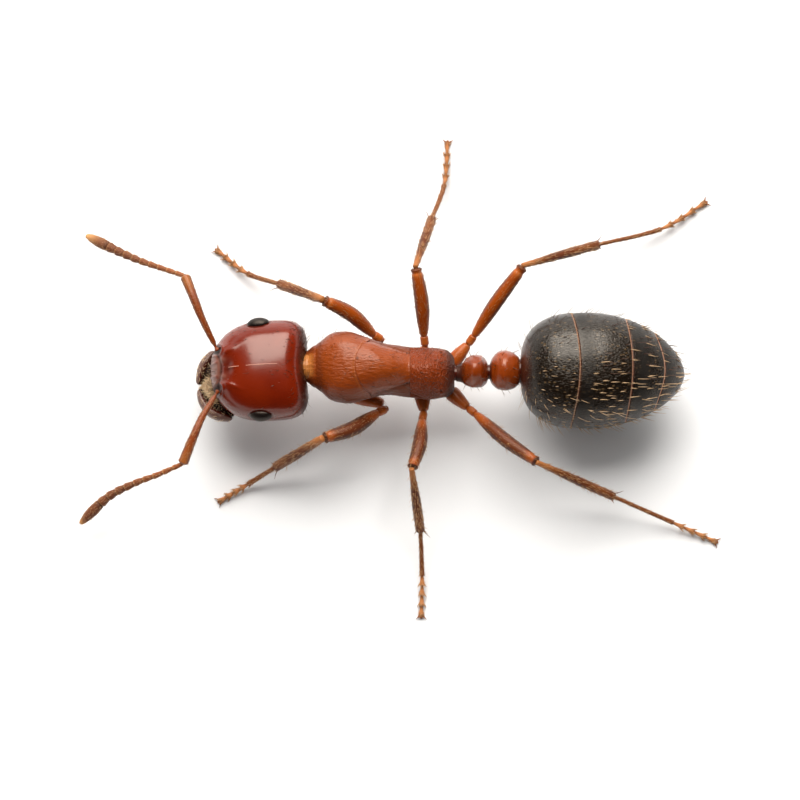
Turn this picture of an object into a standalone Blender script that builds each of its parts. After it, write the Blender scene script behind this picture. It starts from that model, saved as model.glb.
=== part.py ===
"""A fire ant, a large worker, as a still life-size model that stands on its six feet.

The head points along -X, the ant's right side along +Y, and the floor is z = 0.
Lengths here are in millimetres, and add_piece() turns them into metres.
The body's plates are rounded rings lofted along X. The limbs are tubes along a curve.
"""

import math

import bmesh
import bpy
import numpy as np
from mathutils import Matrix, Vector

MM = 0.001
TAU = 2.0 * math.pi
GAP = 0.010  # clear space between neighbouring pieces
POLE_MARGIN = 0.0005  # how far the first and last rings stay from a closed form's tips

# How finely the rounded forms are faceted.
HEAD_SIDES = 24
HEAD_RINGS = 16
EYE_SIDES = 14
THORAX_SIDES = 18
WAIST_SIDES = 14
GASTER_SIDES = 20
LIMB_SIDES = 8
END_CAP = 0.55  # length of a tube's rounded end, in its radii
END_ROUNDING = (0.50, 0.80)  # how thick its two last rings are

# Head, in its own frame: the middle of the head is the origin and the mouth lies along -X.
HEAD_PLACE = (-1.715, -0.010, 0.905)
HEAD_YAW = math.radians(2.0)  # turned a little to the ant's left
HEAD_PITCH = math.radians(-8.0)  # mouth a little lower than the nape
HEAD_ROLL = math.radians(-5.0)  # the crown leans a little to the ant's right
HEAD_HALF_WIDTH = 0.622
HEAD_RISE = 0.41
HEAD_DROP = 0.39
HEAD_SQUARENESS = 2.3
HEAD_MOUTH_X = -0.59
HEAD_NAPE_X = 0.61
HEAD_WIDEST_X = 0.10
NAPE_START_X = 0.25  # from here back the head is dented for the neck
NAPE_DENT = 0.050
NAPE_DENT_WIDTH = 0.28
LOBE_PLACE = (-0.40, 0.235)  # the two frontal lobes that roof the feelers' sockets
LOBE_SIZE = (0.13, 0.075)
LOBE_RISE = 0.045

EYE_PLACE = 0.01
EYE_ANGLE = math.radians(27.0)  # above the widest line of the head
EYE_HALF_LENGTH = 0.135
EYE_HALF_TURN = 0.20  # its half-height, as an angle round the head
EYE_BULGE = 0.052
EYE_RIM = 0.008

JAW_TURN = math.radians(13.5)  # the closed jaws are carried a little to the left
JAW_DROP = -0.155
JAW_ARCS = {  # x and the distance out to the jaw's own side; the left jaw's tip crosses the midline
    "R": ((-0.48, 0.43), (-0.57, 0.36), (-0.655, 0.29), (-0.72, 0.203), (-0.765, 0.127), (-0.785, 0.085)),
    "L": ((-0.49, 0.44), (-0.605, 0.375), (-0.695, 0.305), (-0.755, 0.215), (-0.79, 0.10), (-0.792, -0.03)),
}
JAW_THICKNESS = 0.078
JAW_HALF_HEIGHT = 0.095

# Thorax: x, middle y, half-width, top, bottom, and how much the back is narrower than the flanks.
THORAX_STATIONS = (
    (-1.127, 0.045, 0.200, 1.05, 0.82, 0.0),
    (-1.065, 0.045, 0.250, 1.11, 0.76, 0.0),
    (-0.966, 0.043, 0.310, 1.18, 0.71, 0.0),
    (-0.860, 0.040, 0.400, 1.24, 0.67, 0.0),
    (-0.756, 0.036, 0.436, 1.28, 0.64, 0.02),
    (-0.640, 0.030, 0.446, 1.31, 0.63, 0.05),
    (-0.370, 0.020, 0.375, 1.33, 0.62, 0.15),
    (-0.110, 0.006, 0.315, 1.28, 0.62, 0.35),
    (0.120, -0.020, 0.315, 1.17, 0.62, 0.45),
    (0.350, -0.035, 0.325, 1.20, 0.62, 0.35),
    (0.570, -0.030, 0.292, 1.09, 0.65, 0.25),
    (0.665, -0.030, 0.215, 0.95, 0.68, 0.10),
)
COLLAR_X = -1.127
SHOULDER_SEAM_X = -0.545
SHOULDER_SEAM_SWEEP = 0.20
WAIST_SEAM_X = 0.120
THORAX_END_X = 0.665
THORAX_SQUARENESS = 2.3
WAIST_SQUARENESS = 2.2

# The two knots of the waist: x, middle y, half-width, top, bottom, back narrowing.
PETIOLE_STATIONS = (
    (0.670, -0.025, 0.100, 0.90, 0.72, 0.0),
    (0.750, -0.020, 0.120, 0.94, 0.70, 0.0),
    (0.810, -0.015, 0.172, 1.08, 0.69, 0.1),
    (0.900, -0.012, 0.205, 1.19, 0.68, 0.2),
    (0.985, -0.012, 0.200, 1.16, 0.68, 0.2),
    (1.050, -0.012, 0.150, 0.99, 0.70, 0.1),
    (1.080, -0.012, 0.100, 0.91, 0.73, 0.0),
)
POSTPETIOLE_STATIONS = (
    (1.090, -0.008, 0.100, 0.92, 0.73, 0.0),
    (1.130, -0.005, 0.175, 1.04, 0.70, 0.0),
    (1.205, 0.0, 0.238, 1.15, 0.67, 0.1),
    (1.285, 0.0, 0.252, 1.18, 0.66, 0.1),
    (1.370, 0.0, 0.232, 1.13, 0.67, 0.1),
    (1.462, 0.0, 0.165, 1.02, 0.72, 0.0),
)

# Gaster: one long egg that is parted at three seams.
GASTER_WIDEST_X = 2.32
GASTER_HIGHEST_X = 2.22
GASTER_FRONT_X = 1.465
GASTER_TIP_X = 3.475
GASTER_HALF_WIDTH = 0.720
GASTER_RISE = 0.60
GASTER_DROP = 0.60
GASTER_MIDDLE_Z = 0.90
GASTER_TIP_DROP = 0.10
GASTER_NECK_DROP = 0.02
GASTER_TIP_SWING = -0.03
GASTER_SEAMS = ((2.200, -0.115), (2.840, -0.085), (3.235, -0.13))  # x on the midline, sweep at the sides
GASTER_SQUARENESS = 2.1
GASTER_STEP = 0.006  # how far each plate's front edge lies below the plate before it

# Feelers: the long first joint from its socket to the elbow, then the lash from the elbow to its tip.
SCAPE_ROUTES = {
    "R": ((-2.225, 0.29, 1.005), (-2.408, 0.60, 1.09), (-2.508, 0.85, 1.10), (-2.625, 1.150, 1.03)),
    "L": ((-2.235, -0.335, 0.985), (-2.405, -0.585, 1.08), (-2.52, -0.85, 1.10), (-2.65, -1.165, 1.02)),
}
LASH_ROUTES = {
    "R": ((-2.84, 1.23, 0.94), (-3.15, 1.355, 0.79), (-3.46, 1.51, 0.62), (-3.845, 1.730, 0.40)),
    "L": ((-2.94, -1.275, 0.91), (-3.25, -1.375, 0.76), (-3.57, -1.52, 0.57), (-3.91, -1.82, 0.36)),
}
SCAPE_RADII = (0.034, 0.060)
LASH_RADII = (0.036, 0.070)
LASH_BEADS = 10

# Legs: the root of the coxa, the hip, the knee, the ankle, the last joint and the tip of the foot.
# "bow" is how far the middle of the femur swings to the left of the line from hip to knee.
LEGS = {
    "front_R": dict(
        root=(-0.59, 0.20, 0.505), hip=(-0.25, 0.36, 0.525), knee=(-0.93, 0.85, 1.00),
        ankle=(-1.485, 1.13, 0.42), joint=(-1.88, 1.300, 0.13), tip=(-2.25, 1.60, 0.020),
        bow=-0.045, stout=1.08,
    ),
    "front_L": dict(
        root=(-0.58, -0.24, 0.505), hip=(-0.20, -0.37, 0.535), knee=(-0.93, -0.84, 0.98),
        ankle=(-1.53, -1.13, 0.38), joint=(-1.87, -1.31, 0.12), tip=(-2.21, -1.505, 0.020),
        bow=0.05, stout=1.08,
    ),
    "mid_R": dict(
        root=(0.27, 0.14, 0.505), hip=(0.305, 0.34, 0.570), knee=(0.195, 1.25, 1.00),
        ankle=(0.395, 1.95, 0.40), joint=(0.545, 2.40, 0.13), tip=(0.585, 2.935, 0.020),
        bow=-0.02, stout=1.02,
    ),
    "mid_L": dict(
        root=(0.27, -0.22, 0.505), hip=(0.29, -0.46, 0.560), knee=(0.15, -1.21, 1.00),
        ankle=(0.25, -1.92, 0.38), joint=(0.27, -2.44, 0.12), tip=(0.26, -2.92, 0.020),
        bow=0.03, stout=1.02,
    ),
    "hind_R": dict(
        root=(0.62, 0.12, 0.540), hip=(0.83, 0.36, 0.60), knee=(1.50, 1.26, 1.04),
        ankle=(2.44, 1.615, 0.44), joint=(3.21, 1.85, 0.13), tip=(3.755, 2.19, 0.020),
        bow=0.012, stout=1.0,
    ),
    "hind_L": dict(
        root=(0.60, -0.20, 0.520), hip=(0.83, -0.42, 0.58), knee=(1.67, -1.145, 1.06),
        ankle=(2.62, -1.50, 0.44), joint=(3.35, -1.785, 0.13), tip=(3.87, -2.005, 0.020),
        bow=-0.03, stout=0.98,
    ),
}
COXA_RADII = (0.104, 0.056)
COXA_BELLY = 0.012
TROCHANTER_LENGTH = 0.11
TROCHANTER_RADIUS = 0.056
FEMUR_RADII = (0.044, 0.066)
FEMUR_BELLY = 0.036
TIBIA_PROFILE = ((0.0, 0.029), (0.10, 0.031), (0.32, 0.050), (0.62, 0.060), (0.92, 0.060), (1.0, 0.054))
TARSUS_RADII = (0.031, 0.028)
TARSUS_JOINTS = 4
CLAW_LENGTH = 0.045
CLAW_SPREAD = 0.062
CLAW_DROP = 0.010  # at each of a claw's two lengths
CLAW_TAPER = (0.6, 0.3)

# Colour (linear red, green, blue), roughness and metallic value of each finish.
FINISHES = {
    "head_red": ((0.24, 0.030, 0.008), 0.18, 0.0),
    "thorax_brown": ((0.25, 0.050, 0.012), 0.30, 0.0),
    "gaster_black": ((0.016, 0.009, 0.005), 0.28, 0.0),
    "leg_amber": ((0.24, 0.060, 0.014), 0.35, 0.0),
    "feeler_red": ((0.26, 0.065, 0.022), 0.40, 0.0),
    "jaw_dark": ((0.070, 0.012, 0.006), 0.22, 0.0),
    "eye_black": ((0.012, 0.008, 0.008), 0.15, 0.0),
}


class Egg:
    """A rounded outline along X, widest at one place and closed at both ends.

    At x its half-width is (1 - t ** power) ** (1 / power) of the full one, where t is the
    distance from the widest place over the length of that side, front or rear.
    """

    def __init__(self, front_x, widest_x, rear_x, front_power, rear_power):
        self.widest_x = widest_x
        self.lengths = (widest_x - front_x, rear_x - widest_x)
        self.powers = (front_power, rear_power)

    def side(self, x):
        """The distance share t and the power on the side where x lies."""
        ahead = x < self.widest_x
        length = np.where(ahead, *self.lengths)
        power = np.where(ahead, *self.powers)
        return np.clip(abs(x - self.widest_x) / length, 0.0, 1.0), power

    def share(self, x):
        t, power = self.side(np.asarray(x, float))
        return (1.0 - t**power) ** (1.0 / power)

    def spread(self, start, stop, count):
        """Places from start to stop, closer together where the outline turns fastest."""
        ends = np.array((start, stop), float)
        t, power = self.side(ends)
        angles = np.sign(ends - self.widest_x) * np.arcsin(t ** (power / 2.0))
        turns = np.linspace(*angles, count)
        ahead = turns < 0.0
        length = np.where(ahead, *self.lengths)
        power = np.where(ahead, *self.powers)
        return self.widest_x + np.sign(turns) * length * abs(np.sin(turns)) ** (2.0 / power)


HEAD_PLAN = Egg(HEAD_MOUTH_X, HEAD_WIDEST_X, HEAD_NAPE_X, 2.35, 4.2)
HEAD_SIDE = Egg(HEAD_MOUTH_X, HEAD_WIDEST_X, HEAD_NAPE_X, 2.1, 2.8)
GASTER_PLAN = Egg(GASTER_FRONT_X, GASTER_WIDEST_X, GASTER_TIP_X, 2.8, 1.8)
GASTER_SIDE = Egg(GASTER_FRONT_X, GASTER_HIGHEST_X, GASTER_TIP_X, 2.6, 1.7)


def smooth_rows(rows, x):
    """The rows' values at x, on a curve that never swings past the rows it passes through."""
    table = np.array(rows, float)
    places, values = table[:, 0], table[:, 1:]
    steps = np.diff(places)[:, None]
    slopes = np.diff(values, axis=0) / steps
    rising = slopes[:-1] * slopes[1:] > 0.0
    total = np.where(rising, slopes[:-1] + slopes[1:], 1.0)
    inner = np.where(rising, 2.0 * slopes[:-1] * slopes[1:] / total, 0.0)
    tangents = np.vstack([slopes[:1], inner, slopes[-1:]])
    x = np.clip(x, places[0], places[-1])
    k = np.clip(np.searchsorted(places, x, side="right") - 1, 0, len(places) - 2)
    t = ((x - places[k]) / steps[k, 0])[:, None]
    start = values[k] * (1 + 2 * t) * (1 - t) ** 2 + steps[k] * tangents[k] * t * (1 - t) ** 2
    end = values[k + 1] * t**2 * (3 - 2 * t) + steps[k] * tangents[k + 1] * t**2 * (t - 1)
    return (start + end).T


def circle(sides, squareness=2.0):
    """The sideways and upward shares of a superellipse's points."""
    angles = np.linspace(0.0, TAU, sides, endpoint=False)
    shares = [np.sign(f(angles)) * abs(f(angles)) ** (2.0 / squareness) for f in (np.cos, np.sin)]
    return shares[0], shares[1]


def body_ring(outline, x, sweep, across, up, scale=1.0):
    """A ring of a body plate; sweep moves its sides along X by their distance out squared."""
    rim_x = x + sweep * across**2
    middle_y, half_width, top, bottom, lean = outline(rim_x)
    middle_z = (top + bottom) / 2.0
    half_height = (top - bottom) / 2.0
    narrowing = 1.0 - lean * np.clip(up, 0.0, 1.0)
    y = middle_y + scale * half_width * across * narrowing
    z = middle_z + scale * half_height * up
    return np.column_stack([x + sweep * (scale * across) ** 2, y, z])


def body_plate(outline, places, sweeps, sides, squareness):
    """Rings of one plate from its front seam to its rear seam, with both ends dished to match."""
    across, up = circle(sides, squareness)
    shares = (places - places[0]) / (places[-1] - places[0])
    bends = sweeps[0] + (sweeps[1] - sweeps[0]) * shares
    rings = [body_ring(outline, x, bend, across, up) for x, bend in zip(places, bends)]
    front = [body_ring(outline, places[0], bends[0], across, up, scale) for scale in (0.12, 0.6)]
    rear = [body_ring(outline, places[-1], bends[-1], across, up, scale) for scale in (0.6, 0.12)]
    return front + rings + rear


def skin_rings(rings):
    """A closed mesh over rings with equal numbers of points, filled at both ends."""
    bm = bmesh.new()
    rows = [[bm.verts.new(point) for point in ring] for ring in rings]
    for row, following in zip(rows, rows[1:]):
        for k in range(len(row)):
            after = (k + 1) % len(row)
            bm.faces.new((row[k], row[after], following[after], following[k]))
    bm.faces.new(rows[0])
    bm.faces.new(rows[-1])
    return bm, rows


def finish_material(finish):
    """The Principled material of one finish."""
    colour, roughness, metallic = FINISHES[finish]
    material = bpy.data.materials.get(finish) or bpy.data.materials.new(finish)
    material.use_nodes = True
    shader = material.node_tree.nodes["Principled BSDF"]
    shader.inputs["Base Color"].default_value = (*colour, 1.0)
    shader.inputs["Roughness"].default_value = roughness
    shader.inputs["Metallic"].default_value = metallic
    return material


def add_piece(name, bm, finish):
    """Turn a closed bmesh in millimetres into a named object in metres, shaded smooth."""
    bmesh.ops.recalc_face_normals(bm, faces=bm.faces)
    bmesh.ops.scale(bm, vec=(MM, MM, MM), verts=bm.verts)
    mesh = bpy.data.meshes.new(name)
    bm.to_mesh(mesh)
    bm.free()
    mesh.shade_smooth()
    mesh.set_sharp_from_angle(angle=math.radians(50.0))
    mesh.materials.append(finish_material(finish))
    piece = bpy.data.objects.new(name, mesh)
    bpy.context.scene.collection.objects.link(piece)
    return piece


def head_matrix(extra_yaw=0.0):
    """From the head's own frame to the model's."""
    turn = Matrix.Rotation(HEAD_YAW + extra_yaw, 4, "Z") @ Matrix.Rotation(HEAD_PITCH, 4, "Y")
    return Matrix.Translation(HEAD_PLACE) @ turn @ Matrix.Rotation(HEAD_ROLL, 4, "X")


def place_on_head(bm, extra_yaw=0.0):
    bmesh.ops.transform(bm, matrix=head_matrix(extra_yaw), verts=bm.verts)


def head_surface(x, angle):
    """Points of the head in its own frame, from the place along it and the angle round it."""
    across = np.sign(np.cos(angle)) * abs(np.cos(angle)) ** (2.0 / HEAD_SQUARENESS)
    up = np.sign(np.sin(angle)) * abs(np.sin(angle)) ** (2.0 / HEAD_SQUARENESS)
    y = HEAD_HALF_WIDTH * HEAD_PLAN.share(x) * across
    z = np.where(up > 0.0, HEAD_RISE, HEAD_DROP) * HEAD_SIDE.share(x) * up
    nape = np.clip((x - NAPE_START_X) / (HEAD_NAPE_X - NAPE_START_X), 0.0, 1.0)
    dented = x - NAPE_DENT * nape * np.exp(-((y / NAPE_DENT_WIDTH) ** 2))
    from_lobe = ((x - LOBE_PLACE[0]) / LOBE_SIZE[0]) ** 2 + ((abs(y) - LOBE_PLACE[1]) / LOBE_SIZE[1]) ** 2
    lobe = LOBE_RISE * np.exp(-from_lobe) * np.clip(up, 0.0, 1.0)
    return np.stack(np.broadcast_arrays(dented, y, z + lobe), axis=-1)


def head_normal(x, angle):
    """The outward direction of the head's surface, from two short steps along it."""
    step = 0.01
    along = head_surface(x + step, angle) - head_surface(x - step, angle)
    around = head_surface(x, angle + step) - head_surface(x, angle - step)
    normal = np.cross(around, along)
    return normal / np.linalg.norm(normal, axis=-1, keepdims=True)


def make_head():
    angles = np.linspace(0.0, TAU, HEAD_SIDES, endpoint=False)
    places = HEAD_PLAN.spread(HEAD_MOUTH_X + POLE_MARGIN, HEAD_NAPE_X - POLE_MARGIN, HEAD_RINGS)
    bm, _ = skin_rings([head_surface(np.full(HEAD_SIDES, x), angles) for x in places])
    place_on_head(bm)
    add_piece("head", bm, "head_red")


def make_eye(side, sign):
    """A low dome that lies on the side of the head, a patch of its surface raised twice over."""
    turns = np.linspace(0.0, TAU, EYE_SIDES, endpoint=False)
    layers = [(0.15, False), (0.6, False), (1.0, False), (1.0, True), (0.85, True), (0.5, True), (0.12, True)]
    rings = []
    for reach, outer in layers:
        x = EYE_PLACE + EYE_HALF_LENGTH * reach * np.cos(turns)
        angle = EYE_ANGLE + EYE_HALF_TURN * reach * np.sin(turns)
        angle = angle if sign > 0 else math.pi - angle
        dome = EYE_RIM + EYE_BULGE * math.sqrt(1.0 - reach**2) if outer else 0.0
        rings.append(head_surface(x, angle) + head_normal(x, angle) * (GAP * 0.5 + dome))
    bm, _ = skin_rings(rings)
    place_on_head(bm)
    add_piece(f"eye_{side}", bm, "eye_black")


def make_jaw(side, sign):
    """A curved mandible, thin at its hinge and tip, that closes across the front of the mouth."""
    arc = [(x, sign * y, JAW_DROP) for x, y in JAW_ARCS[side]]
    radius = swelling((0.45 * JAW_THICKNESS, 0.45 * JAW_THICKNESS), 0.55 * JAW_THICKNESS, 0.42)
    rings = tube_rings(arc, radius, 7, LIMB_SIDES + 2, height=JAW_HALF_HEIGHT / JAW_THICKNESS)
    bm, _ = skin_rings(rings)
    place_on_head(bm, JAW_TURN)
    add_piece(f"mandible_{side}", bm, "jaw_dark")


def thorax_outline(x):
    return smooth_rows(THORAX_STATIONS, x)


def make_thorax():
    """Collar and pronotum, then the mid thorax, then the propodeum, parted at two seams."""
    pieces = (
        ("pronotum", COLLAR_X, SHOULDER_SEAM_X, (0.0, SHOULDER_SEAM_SWEEP), 7),
        ("mesothorax", SHOULDER_SEAM_X, WAIST_SEAM_X, (SHOULDER_SEAM_SWEEP, 0.0), 6),
        ("propodeum", WAIST_SEAM_X, THORAX_END_X, (0.0, 0.0), 6),
    )
    for name, start, stop, sweeps, count in pieces:
        places = np.linspace(start + GAP / 2, stop - GAP / 2, count)
        bm, _ = skin_rings(body_plate(thorax_outline, places, sweeps, THORAX_SIDES, THORAX_SQUARENESS))
        add_piece(name, bm, "thorax_brown")


def make_waist():
    """The two knots between the thorax and the gaster."""
    for name, stations, count in (("petiole", PETIOLE_STATIONS, 8), ("postpetiole", POSTPETIOLE_STATIONS, 7)):
        places = np.linspace(stations[0][0], stations[-1][0], count)
        outline = lambda x, rows=stations: smooth_rows(rows, x)
        bm, _ = skin_rings(body_plate(outline, places, (0.0, 0.0), WAIST_SIDES, WAIST_SQUARENESS))
        add_piece(name, bm, "thorax_brown")


def gaster_outline(step):
    """The gaster's outline for one plate, lowered by step at the plate's front edge."""

    def outline(x):
        rear = np.clip((x - GASTER_WIDEST_X) / (GASTER_TIP_X - GASTER_WIDEST_X), 0.0, 1.0)
        front = np.clip((GASTER_WIDEST_X - x) / (GASTER_WIDEST_X - GASTER_FRONT_X), 0.0, 1.0)
        middle_z = GASTER_MIDDLE_Z - GASTER_TIP_DROP * rear**2 - GASTER_NECK_DROP * front**2
        half_width = GASTER_HALF_WIDTH * GASTER_PLAN.share(x) - step
        side = GASTER_SIDE.share(x)
        top = middle_z + GASTER_RISE * side - step
        bottom = middle_z - GASTER_DROP * side + step
        return GASTER_TIP_SWING * rear**3, half_width, top, bottom, np.zeros_like(x)

    return outline


def make_gaster():
    """Four plates, each a little smaller in front than the one before it is behind."""
    starts = [(GASTER_FRONT_X + GAP * 0.7, 0.0), *GASTER_SEAMS]
    stops = [*GASTER_SEAMS, (GASTER_TIP_X - GAP * 0.4, 0.0)]
    for number, ((start, front_sweep), (stop, rear_sweep)) in enumerate(zip(starts, stops), 1):
        first, last = number == 1, number == len(starts)
        front_x = start if first else start + GAP / 2
        rear_x = stop if last else stop - GAP / 2
        places = GASTER_PLAN.spread(front_x, rear_x, 7)
        outline = gaster_outline(0.0 if first else GASTER_STEP)
        sweeps = (front_sweep, rear_sweep)
        bm, _ = skin_rings(body_plate(outline, places, sweeps, GASTER_SIDES, GASTER_SQUARENESS))
        add_piece(f"gaster_{number}", bm, "gaster_black")


def curve_through(points, shares_wanted):
    """Points at shares of the length of a smooth curve through the given ones, and that length."""
    route = np.array(points, float)
    ends = (2 * route[0] - route[1], 2 * route[-1] - route[-2])
    padded = np.vstack([ends[0], route, ends[1]])
    shares = np.linspace(0.0, 1.0, 12, endpoint=False)[:, None]
    spans = []
    for a, b, c, d in zip(padded, padded[1:], padded[2:], padded[3:]):
        linear = (c - a) * shares
        square = (2 * a - 5 * b + 4 * c - d) * shares**2
        cube = (3 * b - a - 3 * c + d) * shares**3
        spans.append(b + (linear + square + cube) / 2.0)
    dense = np.vstack([*spans, route[-1:]])
    lengths = np.concatenate([[0.0], np.cumsum(np.linalg.norm(np.diff(dense, axis=0), axis=1))])
    wanted = np.asarray(shares_wanted) * lengths[-1]
    return np.column_stack([np.interp(wanted, lengths, dense[:, k]) for k in range(3)]), lengths[-1]


def rounded_shares(length, first_radius, last_radius, count):
    """Shares of a tube's length for its rings, and the rounding of its two ends at each."""
    front = END_CAP * first_radius / length
    rear = END_CAP * last_radius / length
    middle = np.linspace(front, 1.0 - rear, count)
    shares = np.concatenate([[0.0, front * 0.3], middle, [1.0 - rear * 0.3, 1.0]])
    rounding = np.concatenate([END_ROUNDING, np.ones(count), END_ROUNDING[::-1]])
    return shares, rounding


def tube_rings(points, radius, count, sides, height=1.0):
    """Rings round a curve; radius is a function of the share of the length, height stretches them."""
    _, length = curve_through(points, (0.0, 1.0))
    shares, rounding = rounded_shares(length, radius(0.0), radius(1.0), count)
    return rings_along(points, shares, [radius(t) * r for t, r in zip(shares, rounding)], sides, height)


def rings_along(points, shares, radii, sides, height=1.0):
    """Upright rings square to a curve, at the given shares of its length and with the given radii."""
    middles, _ = curve_through(points, np.asarray(shares))
    nearby = np.clip(np.asarray(shares)[:, None] + (-0.01, 0.01), 0.0, 1.0)
    behind, _ = curve_through(points, nearby[:, 0])
    before, _ = curve_through(points, nearby[:, 1])
    forward = before - behind
    forward /= np.linalg.norm(forward, axis=1, keepdims=True)
    sideways = np.cross(forward, (0.0, 0.0, 1.0))
    sideways /= np.linalg.norm(sideways, axis=1, keepdims=True)
    upward = np.cross(sideways, forward)
    across, up = circle(sides)
    return [
        middle + r * (across[:, None] * side + height * up[:, None] * rise)
        for middle, r, side, rise in zip(middles, radii, sideways, upward)
    ]


def swelling(radii, belly, place=0.45):
    """A radius that runs from the first to the last of radii, with a belly between them."""
    power = math.log(0.5) / math.log(place)
    return lambda t: radii[0] + (radii[1] - radii[0]) * t + belly * math.sin(math.pi * t**power)


def add_tube(name, points, radius, count, finish):
    bm, _ = skin_rings(tube_rings(points, radius, count, LIMB_SIDES))
    add_piece(name, bm, finish)


def make_feeler(side):
    """The scape, then the lash of short beads that ends in a longer, thicker club."""
    scape = SCAPE_ROUTES[side]
    add_tube(f"scape_{side}", scape, swelling(SCAPE_RADII, 0.0), 6, "feeler_red")
    elbow = past_joint(scape[-2], scape[-1], LASH_ROUTES[side][0], SCAPE_RADII[1])
    lash = (elbow, *LASH_ROUTES[side])
    bead = ((0.06, 0.78), (0.8, 1.0))  # along the bead and the share of its full radius there
    club = ((0.06, 0.78), (0.45, 1.0), (0.72, 0.82), (1.0, 0.22))
    starts = (np.arange(LASH_BEADS) / (LASH_BEADS + 0.8)) ** 0.96
    ends = np.append(starts[1:], 1.0)
    shares, radii = [], []
    for number, (start, end) in enumerate(zip(starts, ends)):
        full = LASH_RADII[0] + (LASH_RADII[1] - LASH_RADII[0]) * (number / (LASH_BEADS - 1)) ** 1.3
        profile = club if number == LASH_BEADS - 1 else bead
        shares += [start + (end - start) * place for place, _ in profile]
        radii += [full * size for _, size in profile]
    bm, _ = skin_rings(rings_along(lash, [0.0, *shares], [LASH_RADII[0] * 0.4, *radii], LIMB_SIDES))
    add_piece(f"funiculus_{side}", bm, "feeler_red")


def femur_route(leg, start):
    """From the trochanter to the knee, with the middle bowed sideways and a little upward."""
    hip, knee = np.array(start), np.array(leg["knee"])
    run = knee - hip
    left = np.array((-run[1], run[0], 0.0)) / np.hypot(run[0], run[1])
    middle = (hip + knee) / 2.0 + leg["bow"] * left + (0.0, 0.0, 0.04)
    return [hip, middle, knee]


def step_along(start, end, distance):
    """The point at this distance from start toward end."""
    start, end = np.array(start), np.array(end)
    return start + (end - start) * distance / np.linalg.norm(end - start)


def past_joint(before, joint, after, radius):
    """Where the next piece starts past a joint: further off the more sharply the limb bends."""
    arriving = step_along(before, joint, 1.0) - np.array(before)
    leaving = step_along(joint, after, 1.0) - np.array(joint)
    outward = arriving + leaving
    bend = np.linalg.norm(leaving - arriving) / 2.0
    return np.array(joint) + outward / np.linalg.norm(outward) * (GAP + radius * bend)


def add_claws(bm, rim, forward):
    """Draw each half of a foot's last ring out into a claw that points forward and down."""
    quarter = len(rim) // 4
    right_half = rim[-quarter:] + rim[: quarter + 1]
    left_half = rim[quarter : -quarter + 1]
    sideways = Vector(forward).cross((0.0, 0.0, 1.0)).normalized()
    for base, sign in ((right_half, 1.0), (left_half, -1.0)):
        move = (Vector(forward) * CLAW_LENGTH + sideways * sign * CLAW_SPREAD) * 0.5
        face = bm.faces.new(base)
        for size in CLAW_TAPER:
            face = bmesh.ops.extrude_discrete_faces(bm, faces=[face])["faces"][0]
            middle = face.calc_center_median()
            for vert in face.verts:
                vert.co = middle + (vert.co - middle) * size + move - Vector((0.0, 0.0, CLAW_DROP))


def make_tarsus(name, leg, stout):
    """The long first foot joint, four short ones that widen forward, and a pair of claws."""
    ankle, joint, tip = leg["ankle"], leg["joint"], leg["tip"]
    first_length = math.dist(ankle, joint)
    share = first_length / (first_length + math.dist(joint, tip))
    thick, thin = (stout * radius for radius in TARSUS_RADII)
    shares = [0.0, 0.03, 0.5 * share, share - 0.02]
    radii = [0.5 * thick, thick, thin, thin]
    short = (1.0 - share) / TARSUS_JOINTS
    for number in range(TARSUS_JOINTS):
        start = share + number * short
        shares += [start + 0.05 * short, start + 0.85 * short]
        radii += [0.75 * thin, 1.1 * thin]
    route = (step_along(ankle, joint, GAP), joint, tip)
    bm, rows = skin_rings(rings_along(route, shares, radii, LIMB_SIDES))
    bm.faces.remove(next(face for face in bm.faces if set(face.verts) == set(rows[-1])))
    add_claws(bm, rows[-1], Vector((tip[0] - joint[0], tip[1] - joint[1], 0.0)).normalized())
    for vert in bm.verts:
        vert.co.z = max(vert.co.z, 0.0)
    add_piece(name, bm, "leg_amber")


def make_leg(name, leg):
    """Coxa, trochanter, femur, tibia and tarsus, end to end with a small gap at each joint."""
    stout = leg["stout"]
    scaled = lambda radii: tuple(stout * radius for radius in radii)
    root, hip, knee, ankle = leg["root"], leg["hip"], leg["knee"], leg["ankle"]
    add_tube(f"coxa_{name}", (root, hip), swelling(scaled(COXA_RADII), COXA_BELLY), 4, "leg_amber")
    link_start = past_joint(root, hip, knee, stout * COXA_RADII[1] * 1.35)
    link = (link_start, step_along(link_start, knee, TROCHANTER_LENGTH))
    add_tube(f"trochanter_{name}", link, lambda t: stout * TROCHANTER_RADIUS, 2, "leg_amber")
    thigh = femur_route(leg, step_along(link_start, knee, TROCHANTER_LENGTH + GAP))
    add_tube(f"femur_{name}", thigh, swelling(scaled(FEMUR_RADII), stout * FEMUR_BELLY), 7, "leg_amber")
    shin = (past_joint(thigh[1], knee, ankle, stout * FEMUR_RADII[1] * 0.85), ankle)
    shin_radius = lambda t: stout * float(smooth_rows(TIBIA_PROFILE, np.array([t]))[0, 0])
    add_tube(f"tibia_{name}", shin, shin_radius, 6, "leg_amber")
    make_tarsus(f"tarsus_{name}", leg, stout)


def main():
    for old in list(bpy.data.objects):
        bpy.data.objects.remove(old, do_unlink=True)
    make_head()
    for side, sign in (("L", -1.0), ("R", 1.0)):
        make_eye(side, sign)
        make_jaw(side, sign)
        make_feeler(side)
    make_thorax()
    make_waist()
    make_gaster()
    for name, leg in LEGS.items():
        make_leg(name, leg)


main()
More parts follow.
